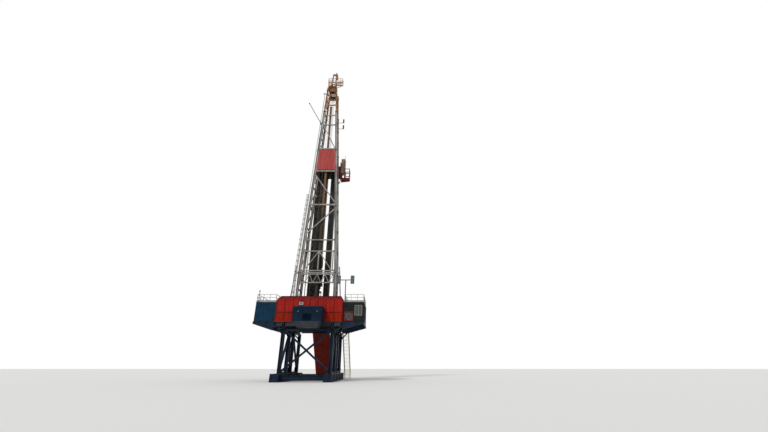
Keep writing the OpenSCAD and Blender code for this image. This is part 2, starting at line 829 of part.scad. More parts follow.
truss_low = waist_z - 850;
truss_high = waist_z - 200;
module mast_base_back() {
    teeth = 8;
    color("silver") {
        face_girt(truss_low, rear_y);
        face_girt(truss_high, rear_y);
        face_girt(waist_z - splice_in, rear_y, 70);
        for (i = [0 : teeth - 1]) {
            span = 2 * inner_x(truss_high) - 2 * brace_w;
            x0 = -span / 2 + span * i / teeth;
            x1 = -span / 2 + span * (i + 1) / teeth;
            low = i % 2 == 0 ? truss_high : truss_low;
            high = i % 2 == 0 ? truss_low : truss_high;
            xz_plate(band([x0, low], [x1, high], brace_w * 0.6), rear_y - brace_w * 0.3,
                     rear_y + brace_w * 0.3);
        }
        for (x = [-inner_x(truss_low) + 60, inner_x(truss_low) - 60])
            upright(x, truss_low, truss_high, rear_y);
        // Legs of the truss down to the splice beam above
        for (x = [-700, 0, 700]) upright(x, truss_high, waist_z - splice_in, rear_y);
    }
}

module mast_lower_sides() {
    color("silver") both_sides() side_section(waist_z, lower_top, 3);
}

// Heights of the two girts above the waist
k_top = waist_z + 0.292 * lower_section_h;
open_top = waist_z + 0.46 * lower_section_h;
module mast_lower_back() {
    low = waist_z + splice_in;
    k_x = half_w(k_top) - leg_d / 2 - 80;
    color("silver") {
        for (z = [low, k_top, open_top]) face_girt(z, rear_y);
        for (s = [-1, 1]) {
            upright(s * k_x, low, k_top, rear_y);
            xz_plate(band([s * (k_x - 40), low], [0, k_top], brace_w * 0.8),
                     rear_y - brace_w * 0.4, rear_y + brace_w * 0.4);
        }
        upright(0, low, k_top, rear_y);
        face_diagonal(open_top + 560, lower_top - 300, rear_y, 1);
    }
}

module mast_middle_sides() {
    color("silver") both_sides() side_section(lower_top, middle_top, 3);
}

// Girt under the red panels at board level, and the lower edge of the panels
wall_girt = board_z - 380;
wall_low = wall_girt + 120;
module mast_middle_back() {
    girt_h = 110;
    low = lower_top + splice_t + girt_h / 2 + 12;
    color("silver") {
        face_girt(low, rear_y, girt_h);
        face_girt(wall_girt, rear_y, girt_h);
        face_girt(middle_top - splice_in, rear_y);
        face_diagonal(low + 230, wall_girt - 410, rear_y, -1);
        face_diagonal(wall_girt, middle_top - splice_in, rear_y, 1);
    }
}

module mast_upper_sides() {
    color("silver") both_sides() side_section(middle_top, upper_top, 3);
}

// Heights of the two girts of the upper section
upper_girts = [middle_top + 0.632 * upper_section_h, middle_top + 0.89 * upper_section_h];
module mast_upper_faces() {
    low = middle_top + splice_in;
    color("silver") {
        for (z = [low, upper_girts[0], upper_girts[1]]) face_girt(z, rear_y);
        face_diagonal(low, upper_girts[0], rear_y, -1);
    }
}

// Heights of the girts of the crown section
crown_girts = [for (f = [0.287, 0.513, 0.762]) upper_top + f * crown_section_h];
outrigger_z = crown_z - 460;
module mast_crown_sides() {
    reach = 305;
    half = 30;
    color("sienna") {
        both_sides() side_section(upper_top, crown_z, 3);
        // Short outrigger on the left-hand leg
        mirror([1, 0, 0])
            translate([half_w(outrigger_z) + crown_leg / 2 - 5, rear_y - half, outrigger_z - half])
            cube([reach + (leg_d - crown_leg) / 2, 2 * half, 2 * half]);
    }
}

module mast_crown_faces() {
    top = crown_z - splice_in;
    color("sienna") {
        for (z = concat(crown_girts, [top])) face_girt(z, rear_y);
        face_girt(top, front_y);
    }
}

// Raking tubes from the drill floor to a horn above the waist
strut_foot_x = foot_spread / 2 + 560;
strut_top_x = waist_spread / 2 + 300;
module mast_struts() {
    top_z = waist_z + 380;
    lug_low = waist_z - 170;
    lug_high = waist_z - 40;
    color("silver") both_sides() {
        rod([strut_foot_x, rear_y, floor_h + 60], [strut_top_x, rear_y, top_z], 42);
        block([strut_foot_x - 140, rear_y - 120, floor_h], [strut_foot_x + 140, rear_y + 120, floor_h + 80]);
        // Lug that bears on the outer flange of the leg
        intersection() {
            block([0, rear_y - 60, lug_low], [strut_top_x + 60, rear_y + 60, lug_high]);
            xz_plate(leg_strip(lug_low, lug_high, leg_d / 2 + seat, leg_d / 2 + 400), rear_y - 60, rear_y + 60);
        }
    }
}

// LADDER

ladder_y = rear_y + mast_depth / 3;
ladder_off = leg_d / 2 + 230;
ladder_w = 200;
rung_pitch = 150;

// Flat ladder in the local YZ plane: an outline with a window between each pair of rungs
module ladder_run(l) {
    stile = 26;
    rung = 14;
    count = floor(l / rung_pitch);
    outer = [[-ladder_w / 2, 0], [ladder_w / 2, 0], [ladder_w / 2, l], [-ladder_w / 2, l]];
    holes = [for (i = [0 : count - 1]) let (
            z0 = i * rung_pitch + rung,
            z1 = i == count - 1 ? l - rung : (i + 1) * rung_pitch,
            x = ladder_w / 2 - stile
        ) [[-x, z0], [x, z0], [x, z1], [-x, z1]]];
    rotate([90, 0, 90]) linear_extrude(rung) polygon(
        points = concat(outer, [for (h = holes) for (p = h) p]),
        paths = concat([[0, 1, 2, 3]], [for (i = [0 : count - 1]) [for (k = [0 : 3]) 4 + 4 * i + k]])
    );
}

// Places what follows along the right-hand face of the mast, from one height to another
module along_face(z0, z1, off) {
    rise = z1 - z0;
    lean = atan2(half_w(z0) - half_w(z1), rise);
    translate([half_w(z0) + off, ladder_y, z0]) rotate([0, -lean, 0]) children();
}

function face_length(z0, z1) = norm([half_w(z0) - half_w(z1), z1 - z0]);

// Side girts that the ladder's brackets stand on
bracket_z = concat([for (i = [1, 2]) levels(floor_h + shoe_h, waist_z, 3)[i]],
                   [for (i = [0, 1, 2, 3]) levels(waist_z, lower_top, 3)[i]],
                   [levels(lower_top, middle_top, 3)[1]],
                   [for (i = [0, 1, 2]) levels(middle_top, upper_top, 3)[i]],
                   [levels(upper_top, crown_z, 3)[1]]);
module ladder() {
    color("gainsboro") mirror([1, 0, 0]) {
        along_face(floor_h, waist_z, ladder_off) ladder_run(face_length(floor_h, waist_z));
        along_face(waist_z, crown_z, ladder_off) ladder_run(face_length(waist_z, crown_z));
        // Brackets to the side girts
        for (z = bracket_z, s = [-1, 1])
            block([half_w(z) + brace_w / 2 + panel_gap, ladder_y + s * (ladder_w / 2 - 13) - 8, z - 8],
                  [half_w(z) + ladder_off + 6, ladder_y + s * (ladder_w / 2 - 13) + 8, z + 8]);
    }
}

cage_r = 190;
cage_top = lower_top + 1450;
module cage_run(l, first) {
    hoop_pitch = 450;
    strip = 24;
    count = floor((l - first) / hoop_pitch);
    centre = 14 + panel_gap;
    for (i = [0 : count])
        translate([centre, 0, first + i * hoop_pitch]) {
            rotate([0, 0, -90]) rotate_extrude(angle = 180) translate([cage_r - 8, 0]) square([8, 36]);
            for (y = [-cage_r, ladder_w / 2 - 26])
                translate([0, y, 0]) cube([8, cage_r - ladder_w / 2 + 26, 36]);
        }
    for (a = [-90 : 30 : 90])
        translate([centre, 0, 0]) rotate([0, 0, a])
            translate([cage_r - 11, a == -90 ? 1 : a == 90 ? -strip - 1 : -strip / 2, first + 2])
                cube([8, strip, count * hoop_pitch + 32]);
}

module ladder_cage() {
    color("gainsboro") mirror([1, 0, 0]) {
        along_face(floor_h, waist_z, ladder_off) cage_run(face_length(floor_h, waist_z), 1050);
        along_face(waist_z, cage_top, ladder_off) cage_run(face_length(waist_z, cage_top), 60);
    }
}

// RACKING BOARD

board_t = 60;
board_y0 = front_y + leg_w / 2 + seat;
board_y1 = board_y0 + 120 + finger_pitch * (stand_rows + 1);
first_row_y = board_y0 + 60 + finger_pitch;
// First stand of the left bank, and the lane between the two banks
left_bank_x = -board_half_w + 140;
lane_left = left_bank_x + stand_pitch * (left_stands - 1) + joint_r + 20;
lane_right = 262;

module racking_board() {
    beam = 60;
    finger = 20;
    top = board_z + board_t;
    half = board_half_w;
    color("dimgray") {
        block([-half, board_y0, board_z], [half, board_y0 + beam, top]);
        block([-half, board_y1 - beam, board_z], [half, board_y1, top]);
        for (x = [-half, half - beam]) block([x, board_y0, board_z], [x + beam, board_y1, top]);
        for (i = [0 : stand_rows]) {
            y = first_row_y + finger_pitch * (i - 0.5) - finger / 2;
            block([-half + 1, y, board_z + 10], [lane_left, y + finger, top - 10]);
            block([lane_right, y, board_z + 10], [half - 1, y + finger, top - 10]);
        }
        // Walkway in the lane between the two banks
        centre = (lane_left + lane_right) / 2;
        block([centre - 80, board_y0 + 180, board_z], [centre + 80, board_y1 - 1, board_z + 30]);
        // Props from the outer flanges of the front legs up to the sides of the board
        foot_z = board_z - 900;
        both_sides() {
            intersection() {
                block([0, front_y - 50, foot_z - 50], [half, board_y1, board_z - panel_gap]);
                union() {
                    xz_plate(leg_strip(foot_z - 50, foot_z + 50, leg_d / 2 + seat, leg_d / 2 + 400),
                             front_y - 50, front_y + 50);
                    bar([half - beam / 2, front_y, foot_z],
                        [half - beam / 2, board_y1 - beam, board_z + 20], 50);
                }
            }
        }
    }
}

// One stand of pipe with its tool joints
module stand() {
    l = stand_l;
    third = l / 3;
    j = 130;
    taper = 24;
    rotate_extrude() polygon([
        [0, 0], [joint_r, 0], [joint_r, j], [pipe_r, j + taper],
        [pipe_r, third - j - taper], [joint_r, third - j], [joint_r, third + j], [pipe_r, third + j + taper],
        [pipe_r, 2 * third - j - taper], [joint_r, 2 * third - j], [joint_r, 2 * third + j],
        [pipe_r, 2 * third + j + taper],
        [pipe_r, l - j - taper], [joint_r, l - j], [joint_r, l], [0, l]
    ]);
}

module stand_bank(x0, columns) {
    for (i = [0 : columns - 1], k = [0 : stand_rows - 1])
        translate([x0 + stand_pitch * i, first_row_y + finger_pitch * k, floor_h]) stand();
}

module pipe_stands_left() {
    color("darkslategray") stand_bank(left_bank_x, left_stands);
}

module pipe_stands_right() {
    color("darkslategray") stand_bank(lane_right + joint_r + 4, right_stands);
}

// Red panels on the rear and side faces of the mast at board level
module mast_windwalls() {
    t = 20;
    top = middle_top - splice_t - 10;
    y2 = rear_y - brace_w / 2 - panel_gap;
    near = rear_y + leg_w / 2 + panel_gap;
    far = front_y - leg_w / 2 - panel_gap;
    // Clears the upright girts, whose upper edge comes nearest to the leaning panel
    off = brace_w / 2 * (1 + lean) + seat;
    color("red") {
        xz_plate([[-inner_x(wall_low), wall_low], [inner_x(wall_low), wall_low], [inner_x(top), top],
                  [-inner_x(top), top]], y2 - t, y2);
        both_sides() xz_plate(leg_strip(wall_low, top - 30, off, off + t), near, far);
    }
}

module board_windwalls() {
    t = 20;
    z0 = board_z + board_t;
    z1 = board_z + board_wall_h;
    color("rosybrown") {
        both_sides() {
            block([board_half_w - t, board_y0 + 80, z0], [board_half_w, board_y1, z1]);
            for (y = [board_y0 + 80, (board_y0 + board_y1) / 2, board_y1 - t - 60])
                block([board_half_w - t - 40, y, z0], [board_half_w - t + 1, y + 40, z1]);
        }
        in = board_half_w - t - panel_gap;
        block([-in, board_y1 - t, z0], [in, board_y1, z1]);
    }
}

// Platform, guard frame and wind shelter beyond the right-hand end of the racking board
landing_z = board_z - 240;
module landing() {
    x0 = board_half_w + panel_gap;
    x1 = x0 + landing_w;
    y0 = board_y0 + 120;
    y1 = board_y1 - 60;
    z = landing_z;
    tube = 50;
    guard_h = 990;
    guard_w = 438;
    shelter_x0 = x0 + 10;
    shelter_x1 = x0 + 365;
    shelter_z = board_z + 300;
    shelter_h = 1550;
    above = z + panel_gap;
    color("darkred") {
        // Plate, and the hangers that bear on the side of the board
        block([x0, y0, z - 30], [x1, y1, z]);
        for (y = [y0, y1 - tube]) {
            block([x0, y, z - 31], [x0 + 40, y + tube, board_z + board_t]);
            xz_plate([[x0, z - 29], [x1, z - 29], [x1, z - 60], [x0, z - 160]], y, y + tube);
        }
        for (x = [x1 - guard_w, x1 - tube], y = [y0, y1 - tube])
            block([x, y, above], [x + tube, y + tube, z + guard_h]);
        for (h = [guard_h / 2, guard_h]) {
            block([x1 - tube, y0, z + h - tube], [x1, y1, z + h]);
            for (y = [y0, y1 - tube]) block([x1 - guard_w, y, z + h - tube], [x1, y + tube, z + h]);
        }
    }
    color("rosybrown") {
        for (x = [shelter_x0 + 60, shelter_x1 - tube], y = [y0 + tube + 30, y1 - 2 * tube - 30])
            block([x, y, above], [x + tube, y + tube, shelter_z + 1]);
        block([shelter_x0, y0 + tube + 30, shelter_z], [shelter_x1, y1 - tube - 30, shelter_z + shelter_h]);
        block([shelter_x1 - 24, y0 + tube + 30, shelter_z + shelter_h - 1],
              [shelter_x1, y0 + tube + 54, shelter_z + shelter_h + 400]);
    }
}

// CROWN

crown_beam_h = 320;
crown_deck_z = crown_z + crown_beam_h;
crown_half = crown_spread / 2 + 60;
crown_y0 = rear_y - 215;
crown_y1 = front_y + 75;
hole_x = 230;
plate_t = 16;
// Catwalk behind the sheaves, at the height of their shaft
walk_z = crown_z + 880;
walk_x0 = -crown_half + 90;
walk_x1 = crown_spread / 2 + 600;
walk_y1 = crown_y0 + 490;
walk_gap = 125;
module crown_frame() {
    beam_w = 110;
    mid = crown_z + crown_beam_h / 2;
    // The cross beams clear the drill lines
    cross_w = 2 * (front_y - sheave_r - line_r - 8);
    color("sienna") {
        for (x = [-hole_x - beam_w / 2, hole_x + beam_w / 2])
            xz_plate(flanged(beam_w, crown_beam_h, 24, 18, [x, mid]), crown_y0, crown_y1);
        for (y = [rear_y, front_y])
            yz_plate(flanged(cross_w, crown_beam_h, 24, 18, [y, mid]), -crown_half, crown_half);
        // Plate over the beams, open where the lines pass
        difference() {
            block([-hole_x - 150, crown_y0, crown_deck_z - 1],
                  [hole_x + 150, crown_y1, crown_deck_z + plate_t]);
            block([-hole_x, -sheave_r - 80, crown_deck_z - 10], [hole_x, crown_y1 + 10, crown_deck_z + 30]);
            block([fast_x - 80, fast_y - 60, crown_deck_z - 10],
                  [fast_x + 80, fast_y + 460, crown_deck_z + 30]);
        }
    }
}

// Edge beams, joists and posts, with a way through for the fast line
module crown_catwalk() {
    joist = 16;
    walk_low = walk_z - 60;
    color("sienna") {
        for (run = [[walk_x0, walk_x1, crown_y0], [walk_x0, fast_x - walk_gap, walk_y1 - 40],
                    [fast_x + walk_gap, walk_x1, walk_y1 - 40]])
            block([run[0], run[2], walk_low], [run[1], run[2] + 40, walk_z]);
        for (run = [[walk_x0, fast_x - walk_gap, 2], [fast_x + walk_gap, walk_x1, 8]], i = [0 : run[2]]) {
            x = run[0] + (run[1] - joist - run[0]) * i / run[2];
            block([x, crown_y0 + 1, walk_low], [x + joist, walk_y1 - 1, walk_z]);
        }
        for (x = [-hole_x - 150, hole_x + 80], y = [crown_y0, walk_y1 - 40])
            block([x, y, crown_deck_z + plate_t], [x + 40, y + 40, walk_low + 1]);
        for (y = [crown_y0, walk_y1 - 40])
            xz_plate([[hole_x + 119, walk_low - 330], [walk_x1 - 60, walk_low + 1],
                      [walk_x1 - 130, walk_low + 1],
                      [hole_x + 119, walk_low - 280]], y, y + 40);
    }
}

// Grooved sheave of a given radius to the line's centre, in the YZ plane
module sheave(r) {
    rim = r + 34;
    groove = r - line_r - panel_gap;
    half = sheave_pitch / 2 - 4;
    rotate([0, 90, 0]) rotate_extrude() polygon([
        [44, -half], [r * 0.34, -half], [r * 0.34, -8], [r * 0.86, -8], [r * 0.86, -half + 6], [rim, -half],
        [rim, -half + 5], [groove, -line_r - 0.5], [groove, line_r + 0.5], [rim, half - 5],
        [rim, half], [r * 0.86, half - 6], [r * 0.86, 8], [r * 0.34, 8], [r * 0.34, half], [44, half]
    ]);
}

crown_shaft_z = crown_deck_z + plate_t + 400;
fast_x = 0;
fast_r = 230;
fast_y = crown_y0 + 118;
fast_shaft_y = fast_y + fast_r;
module crown_sheaves() {
    pad = crown_deck_z + plate_t;
    color("peru") {
        for (i = [-1 : moving_sheaves - 1])
            translate([(i - (moving_sheaves - 1) / 2) * sheave_pitch, 0, crown_shaft_z]) sheave(sheave_r);
        translate([-hole_x - 110, 0, crown_shaft_z]) rotate([0, 90, 0]) cylinder(r = 44, h = 2 * hole_x + 220);
        both_sides() yz_plate([[-190, pad], [190, pad], [90, crown_shaft_z + 70], [-90, crown_shaft_z + 70]],
                              hole_x + 20, hole_x + 90);
        translate([fast_x, fast_shaft_y, pad + 300]) sheave(fast_r);
        translate([fast_x - 110, fast_shaft_y, pad + 300]) rotate([0, 90, 0]) cylinder(r = 44, h = 220);
        for (s = [-1, 1]) {
            x = fast_x + s * 95;
            yz_plate([[fast_shaft_y - 60, pad], [fast_shaft_y + 160, pad], [fast_shaft_y + 60, pad + 360],
                      [fast_shaft_y - 50, pad + 360]], x - 13, x + 13);
        }
    }
}

// Handrail round the catwalk, open towards the sheaves
module crown_rail() {
    h = 480;
    in = rail_bar + panel_gap;
    depth = walk_y1 - crown_y0 - in;
    lane_x = hole_x + 40;
    color("sienna") {
        translate([walk_x0, crown_y0, walk_z]) rail_run(walk_x1 - walk_x0, h, 6);
        translate([walk_x0, crown_y0 + in, walk_z]) mirror([1, 0, 0]) rotate([0, 0, 90]) rail_run(depth, h, 2);
        translate([walk_x1, crown_y0 + in, walk_z]) rotate([0, 0, 90]) rail_run(depth, h, 2);
        translate([lane_x, walk_y1, walk_z]) mirror([0, 1, 0]) rail_run(walk_x1 - in - lane_x, h, 3);
    }
}

// Four-legged frame over the crown, with a hanging block for lifting the sheaves
gin_h = 2550;
module gin_pole() {
    foot_z = crown_deck_z + plate_t;
    gin_top = foot_z + gin_h;
    foot = [hole_x + 60, crown_y1 - 72];
    head = [120, 60];
    leg = 60;
    tie = 0.38;
    tie_at = foot + (head - foot) * tie;
    tie_z = foot_z + gin_h * tie;
    hook_x = 240;
    color("sienna") {
        for (s = [-1, 1], t = [-1, 1]) {
            bar([s * foot.x, t * foot.y, foot_z + 20], [s * head.x, t * head.y, gin_top - 30], leg);
            block([s * foot.x - 60, t * foot.y - 60, foot_z], [s * foot.x + 60, t * foot.y + 60, foot_z + 40]);
        }
        block([-170, -85, gin_top - 60], [hook_x + 80, 85, gin_top + 20]);
        for (s = [-1, 1]) {
            block([s * tie_at.x - 25, -tie_at.y, tie_z - 30], [s * tie_at.x + 25, tie_at.y, tie_z + 30]);
            block([-tie_at.x, s * tie_at.y - 25, tie_z - 30], [tie_at.x, s * tie_at.y + 25, tie_z + 30]);
        }
        // Hanging sheave block and its two hangers
        for (x = [hook_x - 70, hook_x + 50])
            block([x, -26, gin_top - 210], [x + 20, 26, gin_top - 59]);
        block([hook_x - 120, -110, gin_top - 620], [hook_x + 120, 110, gin_top - 200]);
        // Short mast for the warning lamp
        translate([hook_x - 60, 0, gin_top + 19]) cylinder(r = 16, h = 150);
        translate([hook_x - 60, 0, gin_top + 160]) cylinder(r = 50, h = 100);
    }
}

// GUIDE RAIL, STANDPIPE AND LINES

rail_y0 = rear_y + brace_w / 2 + 70;
rail_y1 = rail_y0 + rail_d;
rail_z0 = floor_h + 1300;
rail_top = crown_girts[0] - brace_w / 2 - 20;
module guide_rail() {
    web = 100;
    color("chocolate") {
        xy_plate(flanged(rail_w, rail_d, 30, web, [0, (rail_y0 + rail_y1) / 2]), rail_z0, rail_top);
        for (z = [truss_low, k_top, open_top, wall_girt, upper_girts[0], upper_girts[1]])
            block([-70, rear_y + brace_w / 2 + panel_gap, z - 35], [70, rail_y0 + 1, z + 35]);
    }
}

standpipe_x = half_w(lower_top) - leg_d / 2 - 130;
standpipe_top = lower_top + 900;
module standpipe() {
    r = 34;
    y = rear_y + brace_w / 2 + 60;
    bend = 120;
    color("silver") mirror([1, 0, 0]) translate([standpipe_x, y, 0]) {
        translate([0, 0, floor_h]) cylinder(r = 80, h = 30);
        translate([0, 0, floor_h + 29]) cylinder(r = r, h = standpipe_top - floor_h - 29);
        // Unions at the two ends of the bend
        translate([0, 0, standpipe_top - 30]) cylinder(r = r + 16, h = 60);
        // Gooseneck that turns towards the middle of the mast
        translate([-bend, 0, standpipe_top]) rotate([90, 0, 0])
            rotate_extrude(angle = 150) translate([bend, 0]) circle(r = r);
        translate([-bend, 0, standpipe_top]) rotate([0, -150, 0]) translate([bend, 0, 0]) {
            cylinder(r = r, h = 110);
            translate([0, 0, -30]) cylinder(r = r + 16, h = 60);
            translate([0, 0, 70]) cylinder(r = r + 24, h = 50);
        }
        for (z = [truss_low, k_top, open_top, lower_top + splice_in])
            block([-50, -60 + panel_gap, z - 25], [50, 5, z + 25]);
    }
}

line_top = crown_shaft_z;
moving_sheaves = 4;
block_shaft_z = block_top - 90 - sheave_r;
module drill_lines() {
    color("dimgray")
        for (i = [0 : moving_sheaves - 1], s = [-1, 1])
            translate([(i - (moving_sheaves - 1) / 2) * sheave_pitch, s * sheave_r, block_shaft_z])
                cylinder(r = line_r, h = line_top - block_shaft_z);
}

drum_y = (drawworks_y0 + drawworks_y1) / 2;
anchor_x = foot_spread / 2 - 420;
dead_x = (moving_sheaves + 1) / 2 * sheave_pitch;
module anchored_lines() {
    // Just clear of the bottom of the slot in the drawworks house
    fast_foot = hood_top - slot_deep + 1.2;
    color("dimgray") {
        // Fast line from the crown to the drawworks
        rod([fast_x, fast_y, crown_deck_z + 316], [fast_x, drum_y, fast_foot], line_r);
        // Dead line from the crown to its anchor on the floor
        mirror([1, 0, 0]) {
            rod([dead_x, -sheave_r, crown_shaft_z], [anchor_x, rear_y + 330, floor_h + 239], line_r);
            translate([anchor_x - 60, rear_y + 330, floor_h + 180])
                rotate([0, 90, 0]) cylinder(r = 90, h = 120);
            block([anchor_x - 90, rear_y + 230, floor_h], [anchor_x + 90, rear_y + 430, floor_h + 110]);
        }
    }
}

// TRAVELLING BLOCK AND TOP DRIVE

cheek_x = moving_sheaves * sheave_pitch / 2 + 14;
block_low = block_shaft_z - sheave_r - 90;
module travelling_block() {
    color("goldenrod") {
        for (i = [0 : moving_sheaves - 1])
            translate([(i - (moving_sheaves - 1) / 2) * sheave_pitch, 0, block_shaft_z]) sheave(sheave_r);
        translate([-cheek_x - 30, 0, block_shaft_z]) rotate([0, 90, 0]) cylinder(r = 50, h = 2 * cheek_x + 60);
        both_sides() {
            yz_plate([[-230, block_low], [230, block_low], [380, block_shaft_z - 120],
                      [380, block_shaft_z + 60], [200, block_top], [-200, block_top],
                      [-380, block_shaft_z + 60], [-380, block_shaft_z - 120]], cheek_x, cheek_x + 26);
        }
        // Spacers between the cheeks, clear of the sheaves and lines
        block([-cheek_x - 1, -200, block_low], [cheek_x + 1, 200, block_low + 40]);
        block([-cheek_x - 1, -120, block_top - 34], [cheek_x + 1, 120, block_top]);
        // Neck that the top drive hangs from
        translate([0, 0, block_low - 120]) cylinder(r = 95, h = 121);
    }
}

drive_top = block_low - 120;
drive_h = 2050;
drive_low = drive_top - drive_h;
dolly_gap = 15;
module top_drive() {
    body_w = 560;
    color("darkslategray") {
        // Bail, motor housing, gear case and pipe handler, from the top down
        both_sides() block([150, -60, drive_top - 420], [230, 60, drive_top - 60]);
        block([-230, -90, drive_top - 90], [230, 90, drive_top]);
        block([-body_w / 2, -260, drive_top - 560], [body_w / 2, 260, drive_top - 400]);
        both_sides() translate([150, -20, drive_top - 1130]) cylinder(r = 125, h = 571);
        translate([0, 170, drive_top - 1130]) cylinder(r = 90, h = 571);
        block([-body_w / 2, -260, drive_top - 1330], [body_w / 2, 280, drive_top - 1129]);
        translate([0, 0, drive_top - 1550]) cylinder(r = 190, h = 221);
        translate([0, 0, drive_low]) cylinder(r = 70, h = 700);
        translate([0, 0, drive_low + 180]) cylinder(r = 150, h = 130);
        both_sides() block([140, -50, drive_low + 190], [270, 50, drive_low + 300]);
        both_sides() block([250 - 40, -40, drive_low + 120], [250 + 20, 40, drive_low + 200]);
        // Dolly that runs on the guide rail
        for (z = [drive_top - 1300, drive_top - 560])
            block([-70, rail_y1 + dolly_gap + 29, z], [70, -259, z + 160]);
        block([-rail_w / 2 - 60, rail_y1 + dolly_gap, drive_top - 1330],
              [rail_w / 2 + 60, rail_y1 + dolly_gap + 30, drive_top - 400]);
        both_sides() for (z = [drive_top - 1300, drive_top - 560])
            block([rail_w / 2 + dolly_gap, rail_y1 - 60, z],
                  [rail_w / 2 + 60, rail_y1 + dolly_gap + 1, z + 160]);
    }
}

link_l = 1250;
elevator_z = drive_low + 150 - link_l;
module elevator_links() {
    color("gray") {
        both_sides() {
            rod([250, 0, drive_low + 118.2], [170, 0, elevator_z + 40], 24);
            block([120, -46, elevator_z], [215, 46, elevator_z + 110]);
        }
        translate([0, 0, elevator_z]) difference() {
            cylinder(r = 135, h = 110);
            translate([0, 0, -5]) cylinder(r = 46, h = 120);
        }
    }
}

// LAMPS AND POLE

// Floodlight with its front face towards -Y and a recessed glass
module floodlight(w, h) {
    depth = 110;
    rim = 12;
    difference() {
        translate([-w / 2, -depth / 2, -h / 2]) cube([w, depth, h]);
        translate([-w / 2 + rim, -depth / 2 - 1, -h / 2 + rim]) cube([w - 2 * rim, 22, h - 2 * rim]);
    }
}

module floodlights() {
    // Lamp on the drawworks house
    lamp_x = -365;
    color("dimgray") {
        block([lamp_x - 20, drawworks_y0 + 110, hood_top], [lamp_x + 20, drawworks_y0 + 150, hood_top + 130]);
        block([lamp_x - 110, drawworks_y0 + 60, hood_top + 90],
              [lamp_x + 110, drawworks_y0 + 200, hood_top + 240]);
    }
    // Lamp post on the eave of the doghouse roof
    color("dimgray") {
        post_x = -house_x1 + 150;
        block([post_x, house_y0 - 60, house_top], [post_x + 30, house_y0 - 30 - panel_gap, house_top + 760]);
        block([post_x - 20, house_y0 - 100, house_top + 700], [post_x + 50, house_y0 - 59, house_top + 790]);
    }
}

// Pair of red lamps on brackets off the right-hand leg of the mast
module warning_lamps() {
    lamp_z = upper_top - 2050;
    pitch = 690;
    lamp_x = half_w(lamp_z) + leg_d / 2 + 570;
    color("darkred") {
        xz_plate(leg_strip(lamp_z - 120, lamp_z + pitch + 110, leg_d / 2 + seat, leg_d / 2 + 20),
                 rear_y - 50, rear_y + 50);
        for (z = [lamp_z, lamp_z + pitch]) {
            block([half_w(z) + leg_d / 2 + 8, rear_y - 15, z - 30], [lamp_x, rear_y + 15, z]);
            translate([lamp_x, rear_y, z - 31]) cylinder(r = 32, h = 60);
            translate([lamp_x, rear_y, z + 28]) cylinder(r = 60, h = 360);
        }
    }
}

// T-shaped pole with two floodlights, on the inner rear corner of the cabin roof
pole_h = 1460;
arm_reach = 600;
module light_pole() {
    x = house_x0 + 75;
    y = house_y0 - 60;
    z = house_top + roof_t;
    color("slategray") {
        translate([x, y, house_top - 260]) cylinder(r = 30, h = z + pole_h - house_top + 260);
        for (h = [-200, -20])
            block([x - 40, y, house_top + h - 30], [x + 40, house_y0 - 30 - panel_gap, house_top + h]);
        block([x - arm_reach, y - 25, z + pole_h - 1], [x + arm_reach, y + 25, z + pole_h + 49]);
    }
    // Two lamps on the rear face of the arm
    color("gray") for (s = [-1, 1])
        translate([x + s * (arm_reach - 118), y - 79, z + pole_h + 24]) floodlight(250, 560);
}

pole_z = upper_top - upper_section_h / 3;
module signal_pole() {
    x0 = half_w(pole_z) + leg_d / 2 + seat;
    reach = 1300;
    rise = 2450;
    color("slategray") mirror([1, 0, 0]) {
        intersection() {
            block([0, rear_y - 60, pole_z - 100], [x0 + 200, rear_y + 60, pole_z + 100]);
            xz_plate(leg_strip(pole_z - 100, pole_z + 100, leg_d / 2 + seat, leg_d / 2 + 120),
                     rear_y - 50, rear_y + 50);
        }
        rod([x0 + 60, rear_y, pole_z], [x0 + 60 + reach, rear_y, pole_z + rise], 32);
        translate([x0 + 60 + reach, rear_y, pole_z + rise]) sphere(r = 62);
    }
}

// Everything is placed from the centre of the well
translate([0, well_y, 0]) {
    base_boxes();
    base_spreaders();
    side_frame_left();
    side_frame_right();
    rear_bracing();
    floor_frame();
    deck();
    rotary_table();
    pipe_ramp();
    stair_stringers();
    stair_treads();
    rear_windwall();
    side_windwalls();
    front_windwall();
    doghouse_walls();
    doghouse_roof();
    doghouse_door();
    cabin_walls();
    cabin_roof();
    window_glass();
    window_guard();
    roof_rails();
    side_porches();
    drawworks_house();
    drawworks_skid();
    mast_base_sides();
    mast_base_back();
    mast_lower_sides();
    mast_lower_back();
    mast_middle_sides();
    mast_middle_back();
    mast_upper_sides();
    mast_upper_faces();
    mast_crown_sides();
    mast_crown_faces();
    mast_struts();
    ladder();
    ladder_cage();
    guide_rail();
    standpipe();
    racking_board();
    mast_windwalls();
    board_windwalls();
    landing();
    pipe_stands_left();
    pipe_stands_right();
    crown_frame();
    crown_catwalk();
    crown_sheaves();
    crown_rail();
    gin_pole();
    drill_lines();
    anchored_lines();
    travelling_block();
    top_drive();
    elevator_links();
    floodlights();
    warning_lamps();
    light_pole();
    signal_pole();
}
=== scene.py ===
"""Land drilling rig at half size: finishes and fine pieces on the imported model.

Metres, with +Z up and +Y to the ramp.
"""

import json
import math

